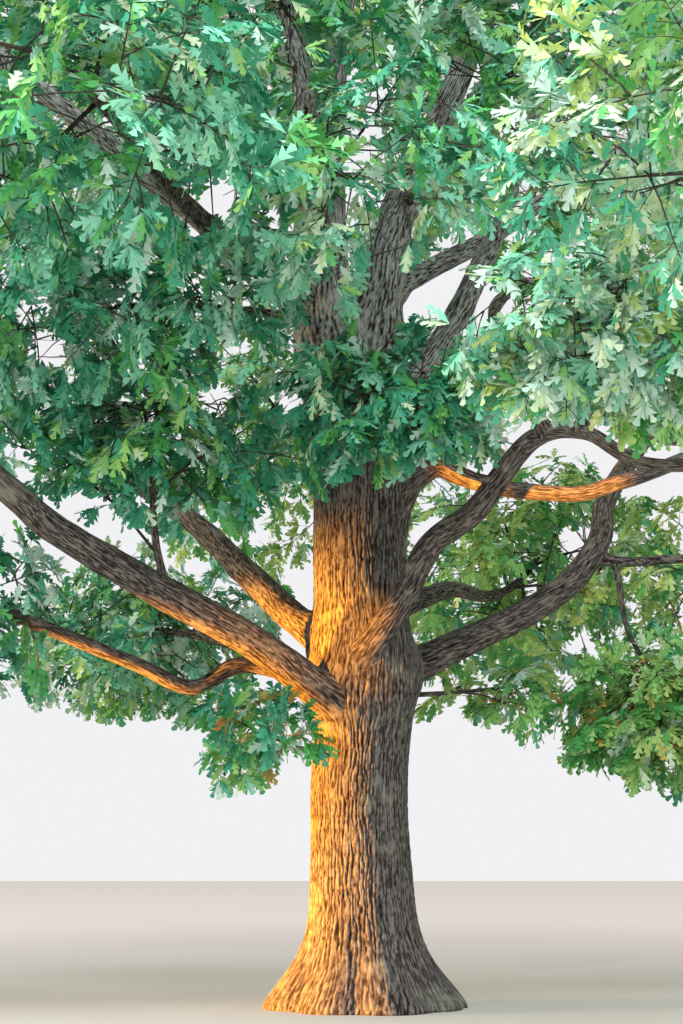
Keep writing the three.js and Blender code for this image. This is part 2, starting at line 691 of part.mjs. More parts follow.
// Three corners round a point of a twig, one of them on the side its leaf faces
function twigRing(centre, across, face, radius) {
  const low = -radius * Math.sin(rad(30));
  const aside = radius * Math.cos(rad(30));
  return [[0, radius], [-aside, low], [aside, low]]
    .map(([v, w]) => centre.clone().addScaledVector(across, v).addScaledVector(face, w));
}

// A leaf is a flat blade with a ridge along its midrib: its two sections and its drawn-down tip
function leafRings(leaf) {
  return LEAF_SECTIONS.map(([share, wide]) => {
    const u = share * leaf.length;
    const edge = (wide * leaf.width) / 2;
    const low = -leafDrop(leaf, u);
    return [[0, low + wide * LEAF_RIDGE * leaf.length], [-edge, low], [edge, low]]
      .map(([v, w]) => leafPoint(leaf, u, v, w));
  });
}

function leafTip(leaf) {
  return leafPoint(leaf, leaf.length, 0, -leafDrop(leaf, leaf.length));
}

function leafSolid(leaf) {
  return loft(leafRings(leaf), leaf.root, leafTip(leaf));
}

// A run of three-cornered rings that goes on into the leaf at its end, where there is one
function shootSolid(shoot) {
  const rings = shoot.rings.map(({ centre, across, face, radius }) => twigRing(centre, across, face, radius));
  return shoot.leaf ? loft(rings.concat(leafRings(shoot.leaf)), null, leafTip(shoot.leaf)) : loft(rings);
}

// ---- building ----

function toMesh(name, shape, colour, roughness) {
  const { vertProperties, triVerts, numProp } = shape.getMesh();
  const positions = new Float32Array((vertProperties.length / numProp) * 3);
  for (let vertex = 0; vertex < positions.length / 3; vertex += 1) {
    positions.set(vertProperties.subarray(vertex * numProp, vertex * numProp + 3), vertex * 3);
  }
  const geometry = new THREE.BufferGeometry();
  geometry.setAttribute("position", new THREE.BufferAttribute(positions, 3));
  geometry.setIndex([...triVerts]);
  geometry.computeVertexNormals();
  const look = { color: colour, roughness, metalness: 0, flatShading: true };
  const mesh = new THREE.Mesh(geometry, new THREE.MeshStandardMaterial(look));
  mesh.name = name;
  return mesh;
}

const tree = new THREE.Group();
tree.name = "oak_tree";

const trunkLegs = TRUNK_LEGS.map((leg) => [...leg, WAIST_RADIUS]);
const cores = { trunk: makeCore(new THREE.Vector3(), WAIST_RADIUS, trunkLegs) };
const cutters = { trunk: trunkSolid(cores.trunk, JOINT_GAP) };
tree.add(toMesh("trunk", trunkSolid(cores.trunk, 0), COLOURS.bark, BARK_ROUGHNESS));

for (const [name, limb] of Object.entries(LIMBS)) {
  const start = onCore(cores[limb.parent], limb.along).centre;
  cores[name] = makeCore(start, limb.start, limb.legs);
  let shape = limbSolid(cores[name], 0);
  for (const cutter of Object.values(cutters)) {
    if (boxesMeet(shape, cutter)) {
      shape = shape.subtract(cutter);
    }
  }
  cutters[name] = limbSolid(cores[name], JOINT_GAP);
  tree.add(toMesh(name, largest(shape), COLOURS.bark, BARK_ROUGHNESS));
}

const stems = {};
const barriers = [];
for (const [name, core] of Object.entries(cores)) {
  barriers.push(...probes(name, (distance) => onCore(core, distance), coreLength(core)));
}
for (const [name, mass] of Object.entries(MASSES)) {
  const stem = stemOf(mass, cores);
  stems[name] = stem;
  barriers.push(...probes(name, (distance) => ({
    centre: stem.curve.getPoint(distance / stem.length),
    radius: stem.girth(distance / stem.length),
  }), stem.length));
}

Object.keys(MASSES).forEach((name, index) => {
  const pieces = growMass(name, FIRST_SEED + SEED_STEP * index, cores, stems, barriers);
  let shape = pieces.reduce((joined, piece) => joined.add(piece));
  if (MASSES[name].along !== undefined) {
    shape = shape.subtract(cutters[MASSES[name].limb]);
  }
  tree.add(toMesh(name, largest(shape), COLOURS[MASSES[name].tint], LEAF_ROUGHNESS));
});

export default tree;
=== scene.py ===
# %% [markdown]
# # A broad white oak in full leaf
# The real tree is about seventeen metres tall, with a trunk that two people can just reach round.
# Its height is too much for modelling leaf by leaf, so it is grown: a table of limbs, as a person
# with a tape would note them down, and a rule that carries each limb on into twigs and leaves.
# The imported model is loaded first. It fixes the size and place of everything that follows.

# %% Load the frame and keep its box
import json
import math

import bpy
import numpy as np
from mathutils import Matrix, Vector

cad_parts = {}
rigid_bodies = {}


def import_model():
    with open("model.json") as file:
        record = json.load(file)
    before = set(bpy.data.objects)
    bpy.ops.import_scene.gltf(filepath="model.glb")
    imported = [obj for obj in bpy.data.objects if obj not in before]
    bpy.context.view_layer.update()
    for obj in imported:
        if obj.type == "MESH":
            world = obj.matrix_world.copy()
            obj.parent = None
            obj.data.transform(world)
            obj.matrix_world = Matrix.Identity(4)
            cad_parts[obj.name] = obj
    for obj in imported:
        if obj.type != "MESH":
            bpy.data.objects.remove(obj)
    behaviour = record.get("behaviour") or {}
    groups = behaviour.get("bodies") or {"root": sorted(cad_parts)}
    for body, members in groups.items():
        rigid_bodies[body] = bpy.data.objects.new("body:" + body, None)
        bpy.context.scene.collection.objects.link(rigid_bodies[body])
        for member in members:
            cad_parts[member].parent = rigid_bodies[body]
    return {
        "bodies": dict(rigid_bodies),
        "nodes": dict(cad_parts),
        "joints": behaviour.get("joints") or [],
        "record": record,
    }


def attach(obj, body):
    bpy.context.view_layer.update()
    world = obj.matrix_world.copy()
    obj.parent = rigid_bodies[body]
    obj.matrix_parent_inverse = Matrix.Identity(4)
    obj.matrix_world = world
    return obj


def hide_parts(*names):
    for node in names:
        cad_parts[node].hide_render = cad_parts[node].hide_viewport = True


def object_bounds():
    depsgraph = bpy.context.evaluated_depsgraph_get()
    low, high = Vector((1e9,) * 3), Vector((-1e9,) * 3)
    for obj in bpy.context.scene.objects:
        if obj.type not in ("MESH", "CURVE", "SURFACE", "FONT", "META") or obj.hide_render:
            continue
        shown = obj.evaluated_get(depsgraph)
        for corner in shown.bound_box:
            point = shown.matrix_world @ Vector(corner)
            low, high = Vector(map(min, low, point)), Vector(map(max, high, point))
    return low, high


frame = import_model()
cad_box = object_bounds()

MM = 0.001


def rounded(box):
    """A box's corners in metres, short enough to print."""
    return [tuple(round(c, 2) for c in corner) for corner in box]


print("solids:", len(frame["nodes"]), "box:", rounded(cad_box))

# %% [markdown]
# ## Camera, light and floor
# The viewer stands twenty metres off at eye height and looks up a little, so the trunk's foot is at
# the bottom edge and the crown runs out of the picture on three sides. The day's light is a wide
# pale sky, a soft box over the viewer and a low sun from the left. The last sunlight also reaches in
# under the crown and turns the bark gold. A stronger sun would gild the leaves and the floor with it,
# so three low warm lamps stand in for it. They are made here, and linked to the bark once it is there.

# %% Camera
CAMERA_PLACE = (-0.22, -20.0, 1.5)
CAMERA_CLIMB = 8.56
LONG_SIDE_PX = 1024
FOCAL_PX = 2174
SENSOR_MM = 36.0
SEES_UP_TO = 400

bpy.ops.object.camera_add(location=CAMERA_PLACE, rotation=(math.radians(90 + CAMERA_CLIMB), 0, 0))
camera = bpy.context.object
camera.name = "camera"
camera.data.sensor_width = SENSOR_MM
camera.data.lens = FOCAL_PX / LONG_SIDE_PX * SENSOR_MM
camera.data.clip_end = SEES_UP_TO
bpy.context.scene.camera = camera
print("lens:", round(camera.data.lens, 1), "mm")


# %% Colours are written as sRGB and turned to linear in one place
def linear(hex_colour):
    """Linear red, green, blue and 1 from '#rrggbb'."""
    parts = [int(hex_colour[at:at + 2], 16) / 255 for at in (1, 3, 5)]
    return [p / 12.92 if p <= 0.04045 else ((p + 0.055) / 1.055) ** 2.4 for p in parts] + [1.0]


print("middle grey:", round(linear("#808080")[0], 3))

# %% A wide pale sky
SKY_COLOUR = "#f7f7fa"
SKY_STRENGTH = 0.95

world = bpy.data.worlds.new("pale_sky")
world.use_nodes = True
sky = world.node_tree.nodes["Background"]
sky.inputs["Color"].default_value = linear(SKY_COLOUR)
sky.inputs["Strength"].default_value = SKY_STRENGTH
bpy.context.scene.world = world
bpy.context.scene.view_settings.view_transform = "Standard"
print("sky:", SKY_COLOUR)

# %% A low sun from the left
SUN_PLACE = (-12, 4, 6)
SUN_TURN = -80
SUN_CLIMB = 10
SUN_STRENGTH = 2
SUN_SPREAD = 3
SUN_COLOUR = "#ffd28a"


def facing_away(direction):
    """The rotation of a lamp that shines the other way from a direction."""
    return Vector(direction).to_track_quat("Z", "Y").to_euler()


bpy.ops.object.light_add(type="SUN", location=SUN_PLACE)
sun = bpy.context.object
sun.name = "low_sun"
sun.data.energy = SUN_STRENGTH
sun.data.angle = math.radians(SUN_SPREAD)
sun.data.color = linear(SUN_COLOUR)[:3]
sun_from = (math.sin(math.radians(SUN_TURN)), -math.cos(math.radians(SUN_TURN)),
            math.tan(math.radians(SUN_CLIMB)))
sun.rotation_euler = facing_away(sun_from)
print("sun from", tuple(round(c, 2) for c in sun_from))

# %% Three low warm lamps for the last light under the crown
GLOW_COLOUR = "#ff9f1c"
LAMP_RADIUS = 0.12
WARM_LAMPS = {  # name: place, target, watts, cone in degrees, share of the cone that fades out
    "evening_glow": ((-9.0, -2.6, 0.8), (0.2, 0, 1.7), 36000, 35, 0.5),
    "evening_patch": ((-2.0, -9.0, 2.0), (1.6, -0.2, 4.85), 26000, 11, 0.35),
    "evening_in_the_fork": ((-6.5, -7.0, 4.9), (-0.05, -0.4, 3.25), 17000, 7.5, 0.9),
}


def warm_lamp(name, place, target, watts, cone, edge):
    """A warm spot lamp from a place towards a target."""
    bpy.ops.object.light_add(type="SPOT", location=place)
    lamp = bpy.context.object
    lamp.name = name
    lamp.data.energy = watts
    lamp.data.spot_size = math.radians(cone)
    lamp.data.spot_blend = edge
    lamp.data.shadow_soft_size = LAMP_RADIUS
    lamp.data.color = linear(GLOW_COLOUR)[:3]
    lamp.rotation_euler = facing_away(Vector(place) - Vector(target))
    return lamp


glow, patch, fork_light = (warm_lamp(name, *numbers) for name, numbers in WARM_LAMPS.items())
print("warm lamps:", [lamp.name for lamp in (glow, patch, fork_light)])

# %% A soft box over the viewer
SOFTBOX_PLACE = (-3, -22, 30)
SOFTBOX_TARGET = (0, 0, 7)
SOFTBOX_SIZE = 26
SOFTBOX_WATTS = 17500

bpy.ops.object.light_add(type="AREA", location=SOFTBOX_PLACE)
softbox = bpy.context.object
softbox.name = "softbox"
softbox.data.size = SOFTBOX_SIZE
softbox.data.energy = SOFTBOX_WATTS
softbox.rotation_euler = facing_away(Vector(SOFTBOX_PLACE) - Vector(SOFTBOX_TARGET))
print("soft box:", SOFTBOX_SIZE, "m wide")

# %% A plain pale floor
FLOOR_COLOUR = "#cecac4"
FLOOR_SIZE = 120
FLOOR_DROP = 0.001
FLOOR_ROUGHNESS = 0.9

bpy.ops.mesh.primitive_plane_add(size=FLOOR_SIZE, location=(0, 0, -FLOOR_DROP))
floor = bpy.context.object
floor.name = "floor"
floor_finish = bpy.data.materials.new("pale_floor")  # matt card: it shows shadows and no gloss
floor_finish.use_nodes = True
floor_shader = floor_finish.node_tree.nodes["Principled BSDF"]
floor_shader.inputs["Base Color"].default_value = linear(FLOOR_COLOUR)
floor_shader.inputs["Roughness"].default_value = FLOOR_ROUGHNESS
floor.data.materials.append(floor_finish)
print("floor:", FLOOR_SIZE, "m")

# %% [markdown]
# ## The limbs, as measured
# Each limb is a run of legs: so long, heading so, climbing so, and so thick at the end. A smooth
# curve goes through the ends. Curves drawn by hand would look as good, but a table can be checked
# against the solids, which were made from the same numbers, in millimetres and degrees.

# %% The limbs' table
TRUNK_RADIUS = 428
TRUNK_LEGS = [  # length, heading, climb
    (500, 180, 88), (900, 180, 88), (550, 180, 89), (550, 0, 87), (700, 0, 90),
    (860, 135, 88), (840, 90, 89), (700, 146, 87), (350, 180, 89),
]
LIMBS = {  # name: parent, distance along it, radius at the start, legs with the radius at each end
    "leader_left": ("trunk", 5100, 250, [
        (460, -176, 78, 300), (430, -168, 71, 285), (670, -157, 79, 270),
        (1080, -121, 87, 240), (560, 170, 84, 215)]),
    "leader_right": ("trunk", 5100, 215, [
        (510, 37, 82, 245), (390, 16, 79, 235), (700, 27, 81, 215), (510, 36, 80, 200),
        (570, 14, 69, 165), (1170, 12, 66, 125), (740, 11, 70, 110), (2000, 15, 67, 65)]),
    "stem_left": ("leader_left", 3000, 160, [
        (620, 170, 76, 150), (800, 148, 76, 130), (1390, 149, 69, 100), (1450, 162, 64, 65)]),
    "stem_middle": ("leader_left", 2950, 180, [
        (720, 13, 79, 170), (710, 32, 82, 155), (1440, 39, 77, 110), (2010, 27, 84, 60)]),
    "bough_left_front": ("trunk", 2600, 240, [
        (680, -132, 22, 165), (790, -151, 31, 147), (1020, -151, 24, 143),
        (1040, -148, 25, 125), (600, -149, 35, 120), (1770, -156, 35, 85)]),
    "bough_left_low": ("trunk", 2950, 130, [
        (580, -170, 6, 85), (570, -170, 8, 75), (480, -167, -26, 70), (600, -164, 21, 65),
        (1260, -163, 20, 55), (830, -158, 15, 45)]),
    "bough_left_back": ("trunk", 3150, 220, [
        (740, 148, 28, 145), (870, 140, 37, 133), (1300, 138, 36, 100), (2570, 139, 28, 75)]),
    "bough_right_front": ("trunk", 2850, 200, [
        (550, -86, 35, 135), (590, -33, 51, 118), (610, -50, 50, 112), (550, -38, 29, 106),
        (850, -48, 38, 86), (610, -48, -1, 60), (690, -42, -29, 55), (830, -25, 1, 50),
        (1050, -35, 22, 45)]),
    "bough_right_arch": ("bough_right_front", 3700, 65, [
        (190, -53, 47, 50), (260, -36, -4, 50), (360, -44, -37, 47), (540, -49, -9, 45),
        (1480, -75, 16, 38)]),
    "bough_right_middle": ("trunk", 4150, 210, [
        (370, -19, 54, 150), (420, -11, 52, 134), (290, 0, 31, 115), (270, -12, -24, 85),
        (380, -8, -18, 75), (680, -17, -7, 72), (380, -16, 11, 70), (670, -27, 15, 65),
        (1920, -6, 23, 50)]),
    "bough_right_low": ("trunk", 2900, 240, [
        (530, 24, 22, 165), (670, 19, 25, 135), (640, 20, 25, 130), (610, 23, 34, 125),
        (580, 40, 48, 113), (550, 57, 64, 100), (1630, 51, 42, 75)]),
    "bough_right_level": ("bough_right_low", 2770, 70, [
        (380, 17, -4, 47), (640, 18, 5, 45), (1200, 17, 2, 35)]),
    "branch_right_hanging": ("bough_right_level", 290, 36, [
        (350, 29, -81, 28), (330, 55, -69, 25), (300, 45, -50, 20)]),
    "bough_right_steep": ("trunk", 4950, 190, [
        (600, 12, 56, 140), (460, 12, 58, 132), (620, 9, 57, 125), (700, 19, 64, 105),
        (610, 12, 66, 75), (800, -34, 70, 65), (1620, -50, 30, 55), (900, -55, 15, 50)]),
    "bough_right_grey": ("leader_right", 1420, 150, [
        (380, 35, 41, 105), (700, 41, 30, 97), (700, 41, 30, 90), (1290, 17, 36, 75),
        (1310, 5, 32, 60)]),
    "bough_left_high": ("leader_left", 1300, 165, [
        (360, -146, 34, 110), (1120, -161, 33, 98), (1150, -161, 36, 88),
        (1190, -162, 35, 78), (1080, -164, 32, 65)]),
    "branch_right_upright": ("bough_right_front", 3320, 70, [
        (530, -126, 40, 56), (360, -121, 36, 53), (500, -105, 34, 48), (600, -75, 5, 40)]),
    "bough_front_high": ("stem_middle", 1130, 120, [(1620, -81, 43, 70), (1510, -81, 36, 55)]),
    "bough_back_high": ("leader_right", 4500, 100, [(1400, 100, 38, 70), (1500, 110, 32, 55)]),
    "bough_front_left_high": ("stem_left", 1500, 120, [(1500, -105, 6, 80), (1700, -125, 2, 60)]),
    "bough_back_left_high": ("stem_left", 700, 125, [(1500, 112, 28, 80), (2200, 125, 20, 60)]),
    "bough_back_right_high": ("leader_right", 2700, 130, [(1750, 78, 26, 80), (2100, 68, 20, 60)]),
    "bough_back": ("trunk", 3600, 210, [(600, 91, 35, 140), (2010, 98, 31, 110), (1800, 96, 26, 80)]),
    "bough_front_left": ("bough_left_high", 1350, 95, [(800, -108, 6, 78), (1500, -98, -2, 60)]),
    "bough_back_left_low": ("trunk", 2750, 150, [
        (630, 120, 23, 90), (1180, 127, 17, 70), (900, 129, 13, 50)]),
    "bough_back_right": ("trunk", 3400, 170, [
        (640, 62, 22, 115), (1500, 65, 14, 85), (900, 66, 2, 65)]),
}
print(len(LIMBS), "limbs on one trunk")

# %% [markdown]
# ## The masses of leaves
# An oak's crown isn't one dome: every bough carries its own mass of leaves, with air between it and
# the next. Leaves scattered in one big ellipsoid would lose those gaps, so each mass has its own. It
# grows from a limb's tip, or from a point along a limb, and has a mix of greens.

# %% The masses' table
MASSES = {  # name: limb, distance along it or None, tint, centre, half sizes
    # The low leaves beside the lit trunk mix a few turned yellow leaves with yellower greens painted in for
    # the low sun on them.
    "trunk_left": ("trunk", 2230, "turning_and_painted_sun", (-930, -1000, 2420), (540, 480, 500)),
    "trunk_right": ("trunk", 2840, "bright", (1280, 1150, 2950), (780, 640, 470)),
    "leader_left": ("leader_left", 1250, "deep", (-1950, -1900, 6000), (1600, 1100, 1100)),
    "leader_front": ("leader_left", 1650, "mid", (-350, -3000, 7000), (1500, 1300, 1150)),
    "left_riser": ("bough_left_front", 1950, "deep", (-1850, -1350, 4950), (1700, 950, 800)),
    "over_trunk": ("bough_right_front", 2660, "deep", (100, -1750, 5250), (1250, 700, 600)),
    "front_left": ("bough_front_left", None, "deep", (-2100, -5000, 6900), (2000, 1900, 1350)),
    "front_right": ("bough_right_arch", None, "blue", (2500, -5900, 6150), (1900, 1600, 1300)),
    "right_upright": ("branch_right_upright", None, "blue", (1750, -4000, 5350), (1150, 950, 800)),
    "left_front": ("bough_left_front", None, "deep", (-6200, -2700, 6400), (2500, 2500, 1800)),
    "left_low": ("bough_left_low", None, "deep", (-4300, -1050, 3400), (1750, 1700, 1050)),
    "left_back": ("bough_left_back", None, "mid", (-5700, 3200, 6800), (2600, 2600, 1900)),
    "left_high": ("bough_left_high", None, "deep", (-5800, -900, 9900), (2600, 2600, 2100)),
    "right_front": ("bough_right_front", None, "mid", (5400, -3800, 5600), (2200, 2100, 1500)),
    "right_middle": ("bough_right_middle", None, "mid", (6500, -600, 7000), (2400, 2400, 1900)),
    "right_back": ("bough_right_low", None, "bright", (4900, 3700, 7200), (2500, 2400, 1800)),
    "right_low": ("bough_right_level", None, "bright", (4500, 1900, 4100), (1900, 1800, 1250)),
    "right_hanging": ("branch_right_hanging", None, "gold", (2900, 1350, 2750), (1000, 750, 700)),
    "right_high": ("bough_right_grey", None, "bright", (5800, 1300, 9800), (2700, 2600, 2100)),
    "right_steep": ("bough_right_steep", None, "mid", (4300, -3600, 9700), (2600, 2500, 2000)),
    "front_left_high": ("bough_front_left_high", None, "mid", (-2700, -4500, 9700), (2500, 2400, 1900)),
    "front_high": ("bough_front_high", None, "mid", (300, -3500, 11900), (2700, 2500, 2100)),
    "back_high": ("bough_back_high", None, "bright", (300, 4100, 12200), (2700, 2500, 2100)),
    "back_left_high": ("bough_back_left_high", None, "mid", (-3800, 4500, 10000), (2700, 2500, 2000)),
    "back_right_high": ("bough_back_right_high", None, "bright", (2700, 5200, 9700), (2700, 2400, 2000)),
    "back": ("bough_back", None, "bright", (-900, 6000, 6500), (2700, 2400, 1900)),
    "back_left_low": ("bough_back_left_low", None, "mid", (-2400, 3000, 3700), (1500, 1400, 850)),
    "back_right": ("bough_back_right", None, "bright", (1900, 4400, 4500), (1900, 1700, 1250)),
    "top_left": ("stem_left", None, "mid", (-3400, 700, 12800), (2700, 2500, 2100)),
    "top_right": ("leader_right", None, "mid", (3500, 700, 12600), (2700, 2500, 2100)),
    "top": ("stem_middle", None, "mid", (200, 300, 14850), (2700, 2600, 2150)),
    "leader_right": ("leader_right", 2500, "mid", (1450, -2000, 8450), (1500, 1300, 1250)),
    "leader_high": ("leader_left", 2700, "mid", (-1300, -2100, 8900), (1500, 1300, 1250)),
}
CENTRES = np.array([mass[3] for mass in MASSES.values()], float)
HALVES = np.array([mass[4] for mass in MASSES.values()], float)
print(len(MASSES), "masses of leaves")


# %% Directions
def unit(vector):
    """The same direction, one long; works on one vector or on rows of them."""
    vector = np.asarray(vector, float)
    return vector / np.linalg.norm(vector, axis=-1, keepdims=True)


def heading(turn, climb):
    """The direction that is turn degrees from +X and climb degrees above level."""
    turn, climb = math.radians(turn), math.radians(climb)
    flat = math.cos(climb)
    return np.array([flat * math.cos(turn), flat * math.sin(turn), math.sin(climb)])


print("half way up from +X:", heading(0, 45).round(3).tolist())

# %% A limb's core: a smooth curve through the ends of its legs
SLOPE_STEP = 0.0001


def make_core(start, start_radius, legs):
    """The legs' ends, the radius at each, and how far along each lies."""
    points, radii, reach = [np.array(start, float)], [start_radius], [0.0]
    for length, turn, climb, radius in legs:
        points.append(points[-1] + heading(turn, climb) * length)
        radii.append(radius)
        reach.append(reach[-1] + length)
    return {"points": np.array(points), "radii": np.array(radii, float), "reach": np.array(reach)}


def spline(points, t):
    """A smooth curve that passes through every point, t from 0 to 1."""
    last = len(points) - 1
    held = np.vstack([2 * points[0] - points[1], points, 2 * points[-1] - points[-2]])
    place = np.clip(np.asarray(t, float), 0, 1) * last
    leg = np.minimum(place.astype(int), last - 1)
    w = (place - leg)[:, None]
    before, here, there, after = (held[leg + step] for step in range(4))
    slope, next_slope = (there - before) / 2, (after - here) / 2
    return ((2 * here - 2 * there + slope + next_slope) * w ** 3
            + (3 * there - 3 * here - 2 * slope - next_slope) * w ** 2 + slope * w + here)


def curve_tangent(curve, t):
    """Unit direction of a curve function at each t."""
    t = np.asarray(t, float)
    return unit(curve(np.minimum(t + SLOPE_STEP, 1)) - curve(np.maximum(t - SLOPE_STEP, 0)))


def on_core(core, distance):
    """Centres, directions and radii at distances along a core."""
    distance = np.atleast_1d(np.asarray(distance, float))
    last = len(core["reach"]) - 1
    leg = np.clip(np.searchsorted(core["reach"], distance, side="left"), 1, last)
    share = (distance - core["reach"][leg - 1]) / (core["reach"][leg] - core["reach"][leg - 1])
    t = (leg - 1 + share) / last
    radius = core["radii"][leg - 1] * (1 - share) + core["radii"][leg] * share
    return spline(core["points"], t), curve_tangent(lambda at: spline(core["points"], at), t), radius


cores = {"trunk": make_core((0, 0, 0), TRUNK_RADIUS, [(*leg, TRUNK_RADIUS) for leg in TRUNK_LEGS])}
for name, (parent, along, start_radius, legs) in LIMBS.items():
    cores[name] = make_core(on_core(cores[parent], along)[0][0], start_radius, legs)
print("longest limb:", round(max(core["reach"][-1] for core in cores.values()) * MM, 1), "m")

# %% [markdown]
# ## Oak bark
# White-oak bark is grey-brown cork, split as the trunk grew thicker into ridges about four
# centimetres wide, with dark furrows a centimetre or more deep between them. It is matt and rough
# everywhere. A bump map alone would leave the trunk's outline smooth, so the ridges are moved in the
# mesh, and only the fibre on them is left to the material. How deep each point lies is kept as the
# attribute "furrow", and its place round and along the limb as "bark_place", in metres.

# %% A shader node with its settings and links
def add_node(material, kind, links=(), **settings):
    """One shader node. Settings set the node's own values, or its inputs by name with _ for a space;
    links are (input, node, output)."""
    nodes = material.node_tree.nodes
    node = nodes.new(kind)
    for name, value in settings.items():
        socket = name.replace("_", " ")
        if socket in node.inputs:
            node.inputs[socket].default_value = value
        else:
            setattr(node, name, value)
    for name, source, output in links:
        material.node_tree.links.new(node.inputs[name], source.outputs[output])
    return node


# %% The bark's finish
# The ridges' flanks: darker cork, with painted shade.
FLANK_BROWN_AND_PAINTED_SHADE = "#2b2422"
LICHEN_GREY = "#a3a695"
FIBRE_MM = 10  # real cork fibre is finer: this is as coarse as it needs to show
STREAK_MM = 20
LICHEN_MM = 260
FIBRE_LENGTH_SHARE = 0.24
STREAK_DEPTH, FIBRE_DEPTH = 0.9, 0.3
RAMP_SPAN = 1.6
RAMP_STOPS = (0.76, 1.0, 1.25, 1.52)
LICHEN_EDGE, LICHEN_MOST = (0.56, 0.74), 0.4
BARK_IOR, BARK_SPECULAR = 1.45, 0.25
BARK_ROUGHNESS = (0.82, 0.98)
FIBRE_RELIEF, FIBRE_STRENGTH = 0.004, 0.6


def bark_noise(bark, place, grain_mm, detail, roughness):
    """Noise whose grain has a real size, in the bark's own place."""
    return add_node(bark, "ShaderNodeTexNoise", [("Vector", place, "Vector")],
                    Scale=1 / (grain_mm * MM), Detail=detail, Roughness=roughness)


def bark_finish(name, lightest, plate, furrow_cork_and_painted_shade):
    """Matt corky bark: colour by depth, with darker cork and painted shade in the furrows, fibre along the
    ridges and a little grey lichen.
    """
    bark = bpy.data.materials.new(name)
    bark.use_nodes = True
    shader = bark.node_tree.nodes["Principled BSDF"]
    shader.inputs["IOR"].default_value = BARK_IOR
    shader.inputs["Specular IOR Level"].default_value = BARK_SPECULAR
    links = bark.node_tree.links
    depth = add_node(bark, "ShaderNodeAttribute", attribute_name="furrow")
    place = add_node(bark, "ShaderNodeAttribute", attribute_name="bark_place")
    lengthwise = add_node(bark, "ShaderNodeMapping", [("Vector", place, "Vector")],
                          Scale=(1, 1, FIBRE_LENGTH_SHARE))
    fibre = bark_noise(bark, lengthwise, FIBRE_MM, 4.0, 0.65)
    streaks = bark_noise(bark, lengthwise, STREAK_MM, 3.0, 0.7)
    patches = bark_noise(bark, place, LICHEN_MM, 3.0, 0.6)
    level = depth.outputs["Fac"]
    for noise, worth in ((streaks, STREAK_DEPTH), (fibre, FIBRE_DEPTH)):
        raised = add_node(bark, "ShaderNodeMath", [("Value", noise, "Fac")], operation="MULTIPLY_ADD")
        raised.inputs[1].default_value = worth
        links.new(level, raised.inputs[2])
        level = raised.outputs["Value"]
    share = add_node(bark, "ShaderNodeMath", [("Value", raised, "Value")], operation="DIVIDE")
    share.inputs[1].default_value = RAMP_SPAN
    ramp = add_node(bark, "ShaderNodeValToRGB", [("Fac", share, "Value")])
    stops = ramp.color_ramp.elements
    while len(stops) < len(RAMP_STOPS):
        stops.new(0.5)
    # The two darkest stops are the furrows' darker cork with painted shade on top, darker than the relief's
    # own shade makes them.
    for stop, at, colour in zip(stops, RAMP_STOPS, (furrow_cork_and_painted_shade, FLANK_BROWN_AND_PAINTED_SHADE, plate, lightest)):
        stop.position = at / RAMP_SPAN
        stop.color = linear(colour)
    lichen = add_node(bark, "ShaderNodeMapRange", [("Value", patches, "Fac")],
                      From_Min=LICHEN_EDGE[0], From_Max=LICHEN_EDGE[1], To_Min=0.0, To_Max=LICHEN_MOST)
    tint = add_node(bark, "ShaderNodeMix", [("Factor", lichen, "Result")], data_type="RGBA")
    links.new(ramp.outputs["Color"], tint.inputs["A"])
    tint.inputs["B"].default_value = linear(LICHEN_GREY)
    links.new(tint.outputs["Result"], shader.inputs["Base Color"])
    dull = add_node(bark, "ShaderNodeMapRange", [("Value", fibre, "Fac")],
                    To_Min=BARK_ROUGHNESS[0], To_Max=BARK_ROUGHNESS[1])
    links.new(dull.outputs["Result"], shader.inputs["Roughness"])
    bump = add_node(bark, "ShaderNodeBump", [("Height", fibre, "Fac")],
                    Strength=FIBRE_STRENGTH, Distance=FIBRE_RELIEF)
    links.new(bump.outputs["Normal"], shader.inputs["Normal"])
    return bark


# %% Four ages of bark
# Old cork: grey crests, and darker cork in the furrows, painted almost black with painted shade.
trunk_bark = bark_finish("furrowed_white_oak_bark", "#787571", "#4a4643", "#0c0908")
# Thin scales on a younger limb: a little paler, and flat enough to look even.
bough_bark = bark_finish("scaly_bough_bark", "#827b76", "#4a4643", "#120e0d")
# The high limbs' scales are a pale ash grey, and this finish is lighter still as painted light, against the
# shade the crown casts on them.
high_limb_bark_with_painted_light = bark_finish("pale_upper_bark", "#b3b6b4", "#7a7a77", "#1d1b19")
# A twig's skin hasn't split yet: smooth, and brown all over.
twig_bark = bark_finish("smooth_twig_bark", "#7b6c5e", "#4a4643", "#4a3f37")
bark_finishes = (trunk_bark, bough_bark, high_limb_bark_with_painted_light, twig_bark)
print("bark finishes:", [finish.name for finish in bark_finishes])


# %% The ridges: patterns that close on themselves round the limb
RIDGE_WANDER, RIDGE_KINK = 1.5, 0.55
LEAST_RIDGES, WAVES_MIXED = 7, 5
FLANK_EDGE, SPLIT_EDGE = (0.12, 0.72), (0.0, 0.35)
SPLITS_PER_RIDGE, SCALES_PER_RIDGE = 1.7, 3
RIDGE_PART, SPLIT_PART, SCALE_PART = 0.44, 0.22, 0.34


def smoothstep(low, high, value):
    """0 below low, 1 above high, and a smooth rise between."""
    t = np.clip((value - low) / (high - low), 0, 1)
    return t * t * (3 - 2 * t)


def waves(turns, along, rng, rounds, lengths):
    """A smooth random swell from -1 to 1 that closes round the limb: rounds is the most waves that
    go round it, lengths the shortest and longest wave along it."""
    total = np.zeros_like(turns)
    for _ in range(WAVES_MIXED):
        spin = rng.integers(0, rounds + 1)
        length = rng.uniform(*lengths)
        total += np.sin(2 * np.pi * (spin * turns + along / length + rng.random()))
    return total / WAVES_MIXED


